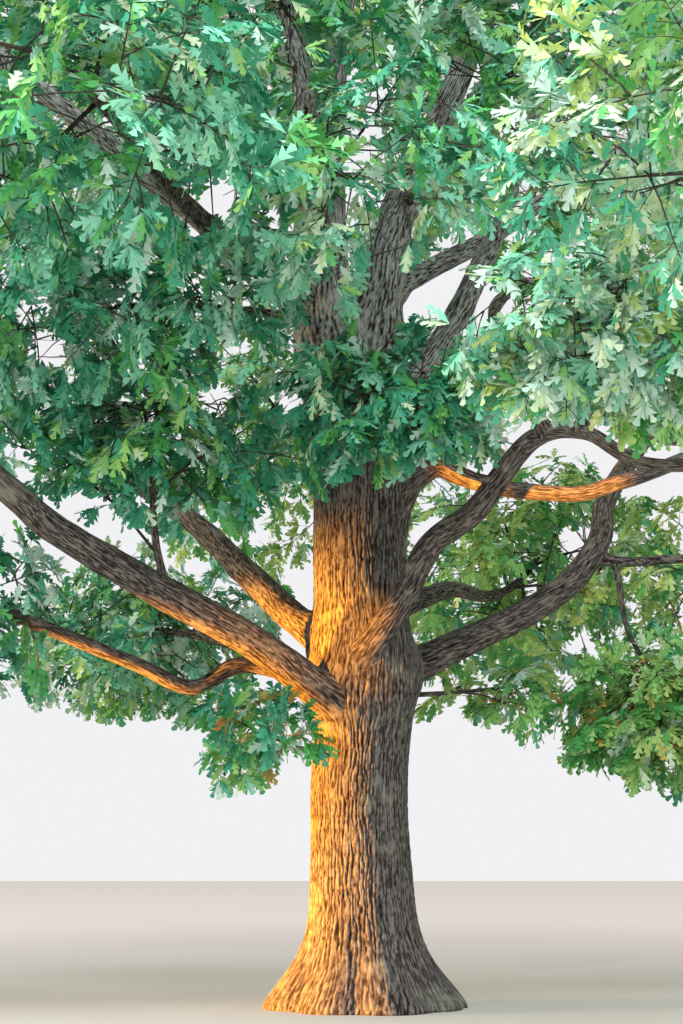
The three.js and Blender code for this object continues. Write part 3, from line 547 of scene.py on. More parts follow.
def patchwork(turns, along, around_count, tall, rng):
    """Smooth random patches from 0 to 1: so many round the limb, each so many millimetres tall."""
    rows = int(along.max() / tall) + 3
    worth = rng.random((rows, around_count))
    x, y = turns * around_count, along / tall
    column, row = np.floor(x).astype(int), np.floor(y).astype(int)
    across, up = smoothstep(0, 1, x - column), smoothstep(0, 1, y - row)
    low, high = (worth[row, column % around_count] * (1 - across)
                 + worth[row, (column + 1) % around_count] * across for row in (row, row + 1))
    return low * (1 - up) + high * up


def bark_relief(turns, along, girth, ridge_wide, ridge_tall, rng):
    """Height from 0 in a furrow to 1 on a ridge, at shares of a turn and millimetres along. Ridges
    wander and kink, splits cross them every half ridge, and scales every eighth."""
    count = max(LEAST_RIDGES, round(girth / ridge_wide))
    wander = RIDGE_WANDER * (patchwork(turns, along, count, ridge_tall, rng) - 0.5)
    wander += RIDGE_KINK * (patchwork(turns, along, count, ridge_tall / 4, rng) - 0.5)
    ridge = np.abs(np.sin(np.pi * (turns * count + wander)))
    split = np.abs(2 * patchwork(turns, along, round(count * SPLITS_PER_RIDGE), ridge_tall / 2, rng) - 1)
    scale = patchwork(turns, along, count * SCALES_PER_RIDGE, ridge_tall / 8, rng)
    height = (RIDGE_PART * smoothstep(*FLANK_EDGE, ridge) + SPLIT_PART * smoothstep(*SPLIT_EDGE, split)
              + SCALE_PART * scale)
    return np.clip(height, 0, 1)


# %% A sheet of bark: a flat grid, wrapped round a limb and closed
WELD = 0.00005
QUAD = 4


def grid_sheet(name, columns, rows):
    """A flat grid object, with each vertex's share of the way round and along."""
    bpy.ops.object.select_all(action="DESELECT")
    bpy.ops.mesh.primitive_grid_add(x_subdivisions=columns, y_subdivisions=rows, size=1)
    sheet = bpy.context.object
    sheet.name = sheet.data.name = name
    flat = np.empty(len(sheet.data.vertices) * 3)
    sheet.data.vertices.foreach_get("co", flat)
    flat = flat.reshape(-1, 3) + 0.5
    return sheet, flat[:, 0], flat[:, 1]


def set_attribute(mesh, name, values):
    """Keeps a number, or a row of three, on every vertex."""
    kind, field = ("FLOAT", "value") if values.ndim == 1 else ("FLOAT_VECTOR", "vector")
    attribute = mesh.attributes.new(name, kind, "POINT")
    attribute.data.foreach_set(field, values.astype(np.float32).ravel())


def wrap_sheet(sheet, points, height, place, material):
    """Moves the grid's vertices to their places in millimetres, welds the seam and caps the ends."""
    sheet.data.vertices.foreach_set("co", (points * MM).ravel())
    set_attribute(sheet.data, "furrow", height)
    set_attribute(sheet.data, "bark_place", place * MM)
    sheet.data.materials.append(material)
    sheet.data.update()
    bpy.ops.object.mode_set(mode="EDIT")
    bpy.ops.mesh.select_mode(type="EDGE")
    bpy.ops.mesh.select_all(action="SELECT")
    bpy.ops.mesh.remove_doubles(threshold=WELD)
    bpy.ops.mesh.select_all(action="SELECT")
    bpy.ops.mesh.fill_holes(sides=0)
    bpy.ops.mesh.select_mode(type="FACE")
    bpy.ops.mesh.select_all(action="DESELECT")
    bpy.ops.mesh.select_face_by_sides(number=QUAD, type="GREATER")
    bpy.ops.mesh.poke()
    bpy.ops.mesh.select_all(action="SELECT")
    bpy.ops.mesh.normals_make_consistent(inside=False)
    bpy.ops.object.mode_set(mode="OBJECT")
    bpy.ops.object.shade_smooth()


# %% [markdown]
# ## The trunk
# A grown oak's trunk isn't a cylinder: it stands on a ring of root buttresses that flare out over
# the last metre, narrows to a waist and swells again where the boughs leave it. Each of these is one
# term of its radius. The sheet of bark has a row every 26 mm and a column every 7 mm, fine enough
# for every furrow to be real relief.

# %% The trunk's radius at any height and angle
WAIST_TAPER, WAIST_HEIGHT = 50, 2500
COLLAR_RADIUS, COLLAR_HEIGHT, COLLAR_SPREAD = 75, 2980, 430
FLARE_RADIUS, FLARE_HEIGHT, FLARE_POWER = 455, 420, 1.5
BUTTRESSES = [  # direction in degrees, size, half width in degrees
    (-175, 1.0, 30), (-118, 0.8, 24), (-72, 0.95, 26), (-20, 0.75, 24),
    (12, 1.0, 28), (70, 0.85, 26), (118, 0.95, 28), (155, 0.7, 22)]
BUTTRESS_HEIGHT = 620
HOLLOW_IN_FLARE, HOLLOW_IN_WAIST = 0.3, 0.12
BREAST_HEIGHT = 1400


def trunk_radius(height, angle):
    """Radius in mm at a height and an angle in degrees; arrays of the same length."""
    waist = TRUNK_RADIUS + WAIST_TAPER * np.maximum(0, 1 - height / WAIST_HEIGHT)
    collar = COLLAR_RADIUS * np.exp(-(((height - COLLAR_HEIGHT) / COLLAR_SPREAD) ** 2))
    ridge = np.zeros_like(angle)
    for direction, size, width in BUTTRESSES:
        off = np.abs((angle - direction + 540) % 360 - 180)
        ridge = np.maximum(ridge, size * np.exp(-((off / width) ** 2)))
    hollow = 1 - ridge
    flare = FLARE_RADIUS * np.exp(-((height / FLARE_HEIGHT) ** FLARE_POWER))
    fade = np.exp(-height / BUTTRESS_HEIGHT)
    return (waist + collar) * (1 - HOLLOW_IN_WAIST * fade * hollow) + flare * (1 - HOLLOW_IN_FLARE * hollow)


compass = np.arange(0.0, 360)
print("radius at breast height:", round(trunk_radius(np.full(360, BREAST_HEIGHT), compass).mean()), "mm")

# %% How bark swells where two limbs meet
JOINT_SWELL, JOINT_SPREAD, JOINT_REACH, JOINT_STEP = 0.34, 0.7, 1500, 40


def joint_swell(points, core, most, reach=JOINT_REACH):
    """How far bark swells out where it meets a limb: most at the crease, fading away from it."""
    centres, _, radii = on_core(core, np.arange(0, min(reach, core["reach"][-1]), JOINT_STEP))
    gap = np.full(len(points), np.inf)
    for centre, radius in zip(centres, radii):
        gap = np.minimum(gap, np.linalg.norm(points - centre, axis=1) - radius)
    return most * JOINT_SWELL * np.exp(-((np.maximum(gap, 0) / (most * JOINT_SPREAD)) ** 2))


# %% Wrap the trunk
TRUNK_COLUMNS, TRUNK_ROWS = 384, 226
TRUNK_TOP = 5930
FORK_DOME = [(0, 1), (5250, 1), (5600, 0.92), (5800, 0.7), (5930, 0.4)]
TRUNK_LUMP, LUMPS_ROUND, LUMP_LENGTHS, LUMPS_BEGIN = 9, 5, (900, 2600), 400
TRUNK_RIDGE, FOOT_RIDGES, FOOT_RADIUS = (39, 220), 1.7, (560, 760)
TRUNK_FURROW = 22
CUT_SHARE = 0.6  # this share of a furrow is cut in, and the rest stands out
KNOT_PLACE, KNOT_RADIUS, KNOT_DEPTH = (-290, 2400), 38, 34
RIM_HEIGHT, RIM_AT, RIM_SHARPNESS = 10, 1.5, 4
TRUNK_SEED = 11

rng = np.random.default_rng(TRUNK_SEED)
trunk, around, up = grid_sheet("trunk_bark", TRUNK_COLUMNS, TRUNK_ROWS)
height = up * TRUNK_TOP
angle = around * 360
centre = on_core(cores["trunk"], height)[0]
outward = np.stack([np.cos(np.radians(angle)), np.sin(np.radians(angle)), np.zeros_like(angle)], 1)
radius = trunk_radius(height, angle) * np.interp(height, *zip(*FORK_DOME))
lumps = TRUNK_LUMP * waves(around, height, rng, LUMPS_ROUND, LUMP_LENGTHS)
radius += lumps * smoothstep(0, LUMPS_BEGIN, height)
surface = np.column_stack([centre[:, 0] + outward[:, 0] * radius,
                           centre[:, 1] + outward[:, 1] * radius, height])
swell = np.zeros(len(surface))
for name, (parent, *_) in LIMBS.items():
    if parent == "trunk":
        swell = np.maximum(swell, joint_swell(surface, cores[name], cores[name]["radii"][1]))
wide = smoothstep(*FOOT_RADIUS, radius)
girth = 2 * np.pi * TRUNK_RADIUS
relief = (bark_relief(around, height, girth, *TRUNK_RIDGE, rng) * (1 - wide)
          + bark_relief(around, height, girth * FOOT_RIDGES, *TRUNK_RIDGE, rng) * wide)
from_knot = np.hypot(surface[:, 0] - KNOT_PLACE[0], height - KNOT_PLACE[1]) / KNOT_RADIUS
in_front = surface[:, 1] < 0
knot = np.where(in_front, np.exp(-from_knot ** 2), 0)
rim = np.where(in_front, np.exp(-((from_knot - RIM_AT) ** 2) * RIM_SHARPNESS), 0)
out = swell + TRUNK_FURROW * (relief - CUT_SHARE) - KNOT_DEPTH * knot + RIM_HEIGHT * rim
surface += outward * out[:, None]
place = np.column_stack([outward[:, :2] * TRUNK_RADIUS, height])
# The knot's hollow takes the deep furrow colour: painted shade in it.
wrap_sheet(trunk, surface, np.clip(relief * (1 - knot), 0, 1), place, trunk_bark)
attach(trunk, "root")
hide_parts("trunk")
foot = (surface[:, 0].max() - surface[:, 0].min()) * MM
print("trunk:", len(trunk.data.polygons), "faces, foot", round(foot, 2), "m wide")

# %% [markdown]
# ## Leaders and boughs
# A bough is the trunk's bark on a smaller scale: narrower ridges, shallower furrows, and lumps where
# old twigs were. Its sheet is wrapped round the core with a frame that is carried from row to row,
# so the ridges run along the limb without twisting. Near its parent it swells to a collar.

# %% A frame that is carried along a limb
NEARLY_UPRIGHT = 0.9
UP = np.array([0, 0, 1.0])
EAST = np.array([1.0, 0, 0])


def carried_frame(directions):
    """For each direction of a run, the two directions square to it, carried along without a twist."""
    side = EAST if abs(directions[0][2]) > NEARLY_UPRIGHT else UP
    sides = []
    for direction in directions:
        side = unit(side - direction * (side @ direction))
        sides.append(side)
    sides = np.array(sides)
    return sides, np.cross(directions, sides)


print("square to +X:", [row[0].tolist() for row in carried_frame(EAST[None])])

# %% Wrap one limb
CELL_WIDE, CELL_LONG = 13, 38
LIMB_COLUMNS, LEAST_ROWS = (20, 96), 6
LUMP_SHARE, LIMB_LUMPS_ROUND, LIMB_LUMP_LENGTHS = 0.05, 2, (250, 900)
FURROW_SHARE, FURROW_LIMITS = 0.05, (1.2, 9)
RIDGE_WIDE, RIDGE_TALL = (0.07, 17), 7
MEAN_GIRTH = 0.85
RADIUS_BLUR = 260
COLLAR_ROW = 16


def wrap_limb(name, sample, length, thickest, material, rng, parent=None):
    """One closed sheet of bark along a core. sample gives centres, directions and radii."""
    columns = int(np.clip(2 * np.pi * thickest / CELL_WIDE, *LIMB_COLUMNS))
    rows = max(LEAST_ROWS, int(length / CELL_LONG))
    sheet, around, share = grid_sheet(name, columns, rows)
    row = np.rint(share * rows).astype(int)
    stations = np.linspace(0, length, rows + 1)
    centres, directions, radii = sample(stations)
    blur = max(1, round(RADIUS_BLUR / (length / rows) / 2))
    padded = np.pad(radii, blur, mode="edge")
    radii = np.convolve(padded, np.ones(2 * blur + 1) / (2 * blur + 1), mode="valid")
    sides, others = carried_frame(directions)
    turn = 2 * np.pi * around
    outward = sides[row] * np.cos(turn)[:, None] + others[row] * np.sin(turn)[:, None]
    along = stations[row]
    lumps = waves(around, along, rng, LIMB_LUMPS_ROUND, LIMB_LUMP_LENGTHS)
    radius = radii[row] * (1 + LUMP_SHARE * lumps)
    depth = np.clip(FURROW_SHARE * radii[row], *FURROW_LIMITS)
    ridge = RIDGE_WIDE[1] + RIDGE_WIDE[0] * thickest
    relief = bark_relief(around, along, 2 * np.pi * thickest * MEAN_GIRTH, ridge, ridge * RIDGE_TALL, rng)
    points = centres[row] + outward * radius[:, None]
    out = depth * (relief - CUT_SHARE)
    if parent is not None:
        out += joint_swell(points, parent, radii[min(rows, COLLAR_ROW)], math.inf)
    points += outward * out[:, None]
    place = np.column_stack([np.cos(turn) * thickest, np.sin(turn) * thickest, along])
    wrap_sheet(sheet, points, relief, place, material)
    return sheet


# %% Wrap every limb, for the solids that it stands for
UPPER_LIMBS = ("leader", "stem", "high", "steep", "grey")
LIMB_SEED = 100


def dress(piece, slot, *nodes):
    """Puts a finished piece on the tree's one body, for the solids that it stands for."""
    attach(piece, "root")
    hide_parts(*nodes)


faces = 0
for index, (name, (parent, *_)) in enumerate(LIMBS.items()):
    core = cores[name]
    # The upper limbs take the paler finish, lightened as painted light against the crown's shade.
    finish = high_limb_bark_with_painted_light if any(word in name for word in UPPER_LIMBS) else bough_bark
    limb = wrap_limb(name + "_bark", lambda at: on_core(core, at), core["reach"][-1],
                     core["radii"][1], finish, np.random.default_rng(LIMB_SEED + index), cores[parent])
    dress(limb, "bark", name)
    faces += len(limb.data.polygons)
print("limbs:", len(LIMBS), "with", faces, "faces")

# %% [markdown]
# ## The rule that grows the leaves
# Where a bough ends, its stem goes on and bends to the middle of its mass of leaves. Twigs leave the
# stem towards points spread over the ellipsoid, turned by 137.5 degrees from one to the next as buds
# are, and every twig carries sprays: flat fans of leaves that face up and outwards. A spray is kept
# only where it stays in its own mass's space and clear of wood and of the sprays before it. The
# solids hold the large sprays. The same rule, with the same random numbers, places them again here.

# %% The rule's numbers: shares are of a mass's mean half size, lengths in millimetres
JOINT_GAP = 0.3
SMALL_MASS = 1400
TWIGS, SMALL_TWIGS = 5, 3
STEM_BEND, STEM_OVERRUN, STEM_FIT = 0.45, 0.22, 0.96
STEM_BASE, STEM_TIP, TWIG_GIRTH = (0.03, 12), (0.014, 6), (0.012, 5)
TWIG_GOAL = (0.38, 0.105)
TWIG_ROOT_MIDDLE, TWIG_ROOT_AHEAD, TWIG_ROOT_JITTER, TWIG_ROOT_LAST = 0.7, 0.22, 0.06, 0.96
TWIG_NOD, TWIG_SPREAD_UP = 0.12, 1.35
TWIG_CHECKS = np.array([0.5, 0.75, 1])
SPRAY_LENGTH, SPRAY_WIDTH = 0.74, 0.66
SPRAY_SHAPE = [(0, 0), (0.36, 0.78), (0.7, 1), (1, 0)]
SPRAY_CHECKS = np.array([0.36, 0.53, 0.7, 0.85, 1])
SPRAY_FLAT, SPRAY_DROOP, SPRAY_RIDGE = 0.36, 0.16, 0.05
SIDE_TURN, SIDE_TURN_SPREAD, SIDE_FROM = 58, 22, (0.5, 0.3)
SIDE_LIFT, SIDE_LEVEL, SIDE_SIZE = 0.3, 0.4, 0.9
SPRAY_SIZES = (1, 0.86, 0.74, 0.6)
FACES_UP, FACES_OUT, TUMBLE = 0.5, 1, 1.2
GOLDEN_TURN, SEED_TURN, TURN_JITTER = 137.5, 71, 50
FIRST_SEED, SEED_STEP = 7, 13
SPACE_MARGIN, CLEARANCE, PROBE_STEP, RIM_STEP, RIM_START = 0.95, 18, 60, 90, 0.2
NO_WIDTH = 1e-9
MASS_NAMES = list(MASSES)
DRAW_FACTOR, DRAW_LIMIT = 48271, 2147483647


def seeded(seed):
    """A multiplying generator: the same seed gives the same numbers anywhere."""
    state = seed

    def roll():
        nonlocal state
        state = state * DRAW_FACTOR % DRAW_LIMIT
        return state / DRAW_LIMIT
    return roll


print("first draw of the first mass:", round(seeded(FIRST_SEED)(), 6))


# %% A mass's own space
def in_space(own, points):
    """True for each point inside its own ellipsoid and nearer to it than to any other."""
    reach = np.linalg.norm((np.atleast_2d(points)[:, None] - CENTRES) / HALVES, axis=2)
    mine = reach[:, own]
    others = np.delete(reach, own, axis=1).min(axis=1)
    return (mine <= 1) & (mine < SPACE_MARGIN * others)


print("centres in their own space:", sum(bool(in_space(own, at)[0]) for own, at in enumerate(CENTRES)))


# %% The sheet of one spray, in its own frame
def spray_half(spray, u):
    """Half the spray's width at u from its root."""
    return spray["width"] / 2 * np.interp(u / spray["length"], *zip(*SPRAY_SHAPE))


def spray_drop(spray, u):
    """How far the spray has bent down at u."""
    past_flat = np.maximum(0, (u / spray["length"] - SPRAY_FLAT) / (1 - SPRAY_FLAT))
    return SPRAY_DROOP * spray["length"] * past_flat


def spray_sheet(spray, u, v):
    """Height of the spray's sheet, highest along its middle."""
    half = spray_half(spray, u)
    inward = np.maximum(0, 1 - np.abs(v) / np.maximum(half, NO_WIDTH))
    crest = np.where(half > 0, inward * 2 * half / spray["width"], 0)
    return 0.5 * SPRAY_RIDGE * spray["length"] * crest - spray_drop(spray, u)


def spray_points(spray, u, v, w):
    """Points of the spray's own frame: along, across and off its face."""
    frame = np.array([spray["along"], spray["across"], spray["face"]])
    return spray["root"] + np.column_stack([u, v, w]) @ frame


def rim_of(spray):
    """Points along both rims and the middle, past the part sunk in the twig."""
    steps = math.ceil(spray["length"] / RIM_STEP)
    u = spray["length"] * np.arange(math.ceil(steps * RIM_START), steps + 1) / steps
    half = spray_half(spray, u)
    u, v = np.repeat(u, 3), np.column_stack([-half, 0 * half, half]).ravel()
    return spray_points(spray, u, v, spray_sheet(spray, u, v))


def outline_of(spray):
    """Points that must stay in the mass's space."""
    u = np.repeat(SPRAY_CHECKS * spray["length"], 2)
    half = spray_half(spray, u)
    v = half * np.tile([-1, 1], len(SPRAY_CHECKS))
    return spray_points(spray, u, v, spray_sheet(spray, u, v))


# %% What a spray or a twig touches
def spray_meets(spray, centres, radii, free=0.0):
    """True if any ball touches the spray beyond its first share, free."""
    if len(centres) == 0:
        return False
    arm = centres - spray["root"]
    reach = radii + CLEARANCE
    u, v, w = arm @ spray["along"], arm @ spray["across"], arm @ spray["face"]
    inside = np.clip(u, 0, spray["length"])
    near = (u >= free * spray["length"] - (0 if free > 0 else reach)) & (u <= spray["length"] + reach)
    near &= np.abs(v) <= spray_half(spray, inside) + reach
    near &= np.abs(w - spray_sheet(spray, inside, v)) < reach + 0.5 * SPRAY_RIDGE * spray["length"]
    return bool(near.any())


def twig_meets(root, tip, girth, centres, radii):
    """True if any ball touches the straight twig."""
    run, arm = tip - root, centres - root
    share = np.clip(arm @ run / (run @ run), 0, 1)
    return bool((np.linalg.norm(arm - share[:, None] * run, axis=1) < radii + girth + CLEARANCE).any())


# %% Curves and girths of stems
def bezier(start, elbow, end):
    """Quadratic curve as a function of t."""
    def at(t):
        t = np.atleast_1d(np.asarray(t, float))[:, None]
        return (1 - t) ** 2 * start + 2 * t * (1 - t) * elbow + t ** 2 * end
    return at


def girth_of(numbers, size):
    """A share of a size, plus a least girth."""
    return numbers[0] * size + numbers[1]


# %% Stems: each carries its limb on into the mass
def stem_of(name):
    """The stem's curve, radii at its ends, length, and the mass's mean half size."""
    limb, along, _, centre, half = MASSES[name]
    centre, size = np.array(centre, float), sum(half) / 3
    at, tangent, radius = (found[0] for found in on_core(cores[limb], cores[limb]["reach"][-1]
                                                         if along is None else along))
    start = at + tangent * JOINT_GAP if along is None else at
    span = np.linalg.norm(centre - start)
    set_off = tangent if along is None else unit((centre - start) * (1, 1, 0))
    elbow = start + set_off * span * STEM_BEND
    end = centre + unit(centre - elbow) * size * STEM_OVERRUN
    thick = radius * STEM_FIT if along is None else girth_of(STEM_BASE, size)
    length = np.linalg.norm(start - elbow) + np.linalg.norm(elbow - end)
    return {"curve": bezier(start, elbow, end), "thick": thick, "thin": girth_of(STEM_TIP, size),
            "size": size, "length": length, "centre": centre}


stems = {name: stem_of(name) for name in MASSES}
owners, ball_centres, ball_radii = [], [], []
for name, core in cores.items():
    steps = math.ceil(core["reach"][-1] / PROBE_STEP)
    found = on_core(core, np.linspace(0, core["reach"][-1], steps + 1))
    owners += [name] * (steps + 1)
    ball_centres.append(found[0])
    ball_radii.append(found[2])
for name, stem in stems.items():
    t = np.linspace(0, 1, math.ceil(stem["length"] / PROBE_STEP) + 1)
    owners += [name] * len(t)
    ball_centres.append(stem["curve"](t))
    ball_radii.append(stem["thick"] * (1 - t) + stem["thin"] * t)
owners, ball_centres, ball_radii = np.array(owners), np.vstack(ball_centres), np.concatenate(ball_radii)
print("stems:", len(stems), "clearance balls:", len(owners))


# %% Grow one mass: its twigs and its large sprays
class Mass:
    """What has grown so far in one mass of leaves."""

    def __init__(self, name, seed):
        self.name, self.own = name, MASS_NAMES.index(name)
        self.stem, self.roll, self.seed = stems[name], seeded(seed), seed
        mine = owners == name
        self.wood, self.wood_girth = ball_centres[mine], ball_radii[mine]
        self.others, self.other_girth = ball_centres[~mine], ball_radii[~mine]
        self.rims = np.empty((0, 3))
        self.sprays, self.twigs = [], []

    def try_spray(self, root, along, scale, wish=None):
        """Adds a spray at the first size that keeps clear, or none."""
        if wish is None:
            jitter = np.array([self.roll() - 0.5, self.roll() - 0.5, self.roll() - 0.5])
            wish = UP * FACES_UP + unit(root - self.stem["centre"]) * FACES_OUT + jitter * TUMBLE
        face = unit(wish - along * (wish @ along))
        for shrink in SPRAY_SIZES:
            length = self.stem["size"] * SPRAY_LENGTH * scale * shrink
            spray = {"root": root, "along": along, "face": face, "across": np.cross(face, along),
                     "length": length, "width": length * SPRAY_WIDTH, "mass": self.own}
            if not in_space(self.own, outline_of(spray)).all():
                continue
            rim = rim_of(spray)
            bare = np.zeros(len(rim))
            if (any(spray_meets(placed, rim, bare) for placed in self.sprays)
                    or spray_meets(spray, self.rims, np.zeros(len(self.rims)))
                    or spray_meets(spray, self.others, self.other_girth)
                    or spray_meets(spray, self.wood, self.wood_girth, RIM_START)):
                continue
            self.sprays.append(spray)
            self.rims = np.vstack([self.rims, rim])
            return spray
        return None

    def add_twig(self, root, tip, girth):
        """Keeps a straight twig, and the balls that keep other sprays off it."""
        run = tip - root
        steps = math.ceil(np.linalg.norm(run) / PROBE_STEP)
        balls = root + run * (np.arange(steps + 1) / steps)[:, None]
        self.wood = np.vstack([self.wood, balls])
        self.wood_girth = np.concatenate([self.wood_girth, np.full(steps + 1, girth)])
        self.twigs.append((root, tip, girth))

    def clear(self, root, tip, girth):
        """True if a twig from root to tip stays in space and touches no limb."""
        return (in_space(self.own, root + (tip - root) * TWIG_CHECKS[:, None]).all()
                and not twig_meets(root, tip, girth, self.others, self.other_girth))

    def grow(self):
        """The solids' own rule, draw for draw."""
        stem, roll = self.stem, self.roll
        end, end_tangent = stem["curve"](1)[0], curve_tangent(stem["curve"], [1.0])[0]
        self.try_spray(end, end_tangent, 1)
        count = SMALL_TWIGS if stem["size"] < SMALL_MASS else TWIGS
        for index in range(count):
            rise = 1 - 2 * (index + 0.5) / count
            spin = math.radians(index * GOLDEN_TURN + self.seed * SEED_TURN + roll() * TURN_JITTER)
            flat = math.sqrt(1 - rise * rise)
            out = np.array([flat * math.cos(spin), flat * math.sin(spin), rise * TWIG_SPREAD_UP])
            goal = stem["centre"] + out * HALVES[self.own] * (TWIG_GOAL[0] + TWIG_GOAL[1] * roll())
            t = TWIG_ROOT_MIDDLE + TWIG_ROOT_AHEAD * (out @ end_tangent) + TWIG_ROOT_JITTER * roll()
            root = stem["curve"](min(t, TWIG_ROOT_LAST))[0]
            run = goal - root
            along = unit(run)
            level = unit(np.cross(UP, along))
            sides = []
            for side in (1, -1):
                turn = math.radians(SIDE_TURN + SIDE_TURN_SPREAD * roll()) * side
                lift = UP * SIDE_LIFT * (roll() - SIDE_LEVEL)
                aside = unit(along * math.cos(turn) + level * math.sin(turn) + lift)
                sides.append((aside, root + run * (SIDE_FROM[0] + SIDE_FROM[1] * roll())))
            girth = girth_of(TWIG_GIRTH, stem["size"])
            if self.clear(root, goal, girth):
                self.add_twig(root, goal, girth)
                self.try_spray(goal, unit(along - UP * TWIG_NOD), 1)
                for aside, start in sides:
                    self.try_spray(start, aside, SIDE_SIZE)
        return self


masses = [Mass(name, FIRST_SEED + SEED_STEP * index).grow() for index, name in enumerate(MASSES)]
grown = [(len(mass.sprays), len(mass.twigs)) for mass in masses]
print("large sprays:", sum(sprays for sprays, _ in grown), "twigs:", sum(twigs for _, twigs in grown))

# %% [markdown]
# ## Finer twigs
# The solids stop at large sprays, a metre or two long. On the real tree the space between them holds
# smaller ones, so each mass now grows more twigs, from the nearest wood to points still empty, with
# a smaller spray on each. They keep to the same space and clearance as the large ones.

# %% Small sprays in the space still empty
FINE_TRIES = 66
LITTLE_MASS, LITTLE_TRIES = 800, 10
FULLER = ("leader_left", "leader_front", "left_riser", "over_trunk", "right_upright", "leader_right",
          "leader_high", "back_left_low", "front_left", "left_low", "back_right", "right_low", "top",
          "top_left", "top_right", "front_high", "back_high", "right_hanging")
FULLER_TRIES = 102
FINE_SPAN = (0.12, 0.55)
FINE_REACH = (0.3, 0.92)
FINE_SIZE = (0.42, 0.3)
FINEST_SIZE = (0.26, 0.16)
FINEST_TRIES = 60
FINE_GIRTH = (0.004, 4)
FINE_TUMBLE = 0.4
FINE_SEED = 500


def grow_finer(mass, rng, tries, sizes):
    """Tries points in the ellipsoid; each that is clear gets a twig from the nearest wood."""
    half = HALVES[mass.own]
    for _ in range(tries):
        out = unit(rng.normal(size=3)) * rng.uniform(*FINE_REACH)
        goal = mass.stem["centre"] + out * half
        gaps = np.linalg.norm(mass.wood - goal, axis=1)
        nearest = int(gaps.argmin())
        root = mass.wood[nearest]
        span = gaps[nearest] / mass.stem["size"]
        along = unit(goal - root)
        girth = girth_of(FINE_GIRTH, mass.stem["size"])
        size = sizes[0] + sizes[1] * rng.random()
        wish = UP * FACES_UP + unit(goal - mass.stem["centre"]) * FACES_OUT
        wish = wish + rng.normal(size=3) * FINE_TUMBLE
        if not FINE_SPAN[0] < span < FINE_SPAN[1] or not mass.clear(root, goal, girth):
            continue
        if mass.try_spray(goal, unit(along - UP * TWIG_NOD), size, wish):
            mass.add_twig(root, goal, girth)


for mass in masses:
    rng = np.random.default_rng(FINE_SEED + mass.own)
    if mass.stem["size"] < LITTLE_MASS:
        grow_finer(mass, rng, LITTLE_TRIES, FINE_SIZE)
    elif mass.name in FULLER:
        grow_finer(mass, rng, FULLER_TRIES, FINE_SIZE)
        grow_finer(mass, rng, FINEST_TRIES, FINEST_SIZE)
    else:
        grow_finer(mass, rng, FINE_TRIES, FINE_SIZE)
grown = [(len(mass.sprays), len(mass.twigs)) for mass in masses]
print("all sprays:", sum(sprays for sprays, _ in grown), "twigs:", sum(twigs for _, twigs in grown))

# %% [markdown]
# ## Leaves and the twigs that carry them
# A white-oak leaf is a hand long, with rounded lobes on each side of a strong midrib, leathery,
# darker and smoother above. Leaves crowd at the twig's end, like the fingers of a hand. One leaf is
# eight triangles in its own outline; each spray is filled with sprigs, and each sprig with leaves.
# More than a hundred thousand leaves as objects would stop Blender, so they are kept in arrays and
# joined into a few meshes, one for each part of the crown.

# %% The greens of the crown, and how much of each a mass holds
# The palest greens, the silvery one and the pale one, are painted highlights: the sky's glint on the wax.
GREENS = {
    "shade_teal": "#378f6c", "teal": "#48a583", "light_teal": "#80c8aa", "silver_green": "#b9dac9",
    "leaf_green": "#58ad5d", "light_green": "#8fc873", "lime_green": "#b4d27e", "pale_green": "#c3deb6",
    # The dry yellow is partly turned leaves and partly painted low sun.
    "dry_yellow": "#cdb765", "dry_brown": "#a9713c",
}
# The deep mix is painted shade for the crown's shaded left; the bright mix and the mix for the low leaves
# by the trunk hold paler, yellower greens as painted light.
TINT_MIXES = {  # parts of each green, in the same order
    "deep": (17, 28, 24, 12, 12, 5, 0, 3, 0, 0),
    "mid": (5, 13, 24, 19, 14, 14, 4, 8, 0, 0),
    "bright": (2, 6, 6, 5, 21, 33, 21, 7, 0, 0),
    "blue": (2, 8, 22, 27, 5, 12, 7, 18, 0, 0),
    "turning_and_painted_sun": (12, 18, 10, 4, 26, 16, 6, 2, 5, 1),
    "gold": (0, 1, 2, 2, 16, 40, 28, 7, 3, 1),
}
TINT_MIXES = {kind: np.array(parts) / sum(parts) for kind, parts in TINT_MIXES.items()}
print("greens:", len(GREENS), "mixes:", list(TINT_MIXES))

# %% One leaf's pattern, one long: along, across and off its face
LEAF_PATTERN = np.array([
    (0.00, 0.00, 0.00), (0.40, 0.07, 0.03), (0.40, -0.07, 0.03), (1.04, 0.00, -0.10),
    (0.68, 0.04, -0.027), (0.68, -0.04, -0.027), (0.47, 0.21, -0.01), (0.47, -0.21, -0.01),
    (0.76, 0.27, -0.05), (0.76, -0.27, -0.05), (0.97, 0.15, -0.09), (0.97, -0.15, -0.09)])
LEAF_FACES = np.array([
    (0, 2, 1), (1, 2, 3), (0, 1, 6), (1, 4, 8), (4, 3, 10), (0, 7, 2), (2, 9, 5), (5, 11, 3)])
print("one leaf:", len(LEAF_FACES), "triangles")


# %% What one mass carries
class Foliage:
    """Leaves and sprigs of one mass, kept as lists of arrays until they are joined."""

    def __init__(self, mix):
        self.mix = mix
        self.roots, self.alongs, self.faces, self.lengths, self.tints = [], [], [], [], []
        self.rods = []

    def pick_tint(self, rng):
        """One green, as often as the mix says."""
        return rng.choice(len(self.mix), p=self.mix)

    def add_leaf(self, root, along, face, length, tint):
        """One leaf on its short stalk."""
        self.roots.append(root)
        self.alongs.append(along)
        self.faces.append(face)
        self.lengths.append(length)
        self.tints.append(tint)

    def add_rod(self, points, thick, thin):
        """One tapering twig of three points."""
        self.rods.append((points, thick, thin))


def turned(along, normal, degrees):
    """along, turned about normal."""
    angle = math.radians(degrees)
    return unit(along * math.cos(angle) + np.cross(normal, along) * math.sin(angle))


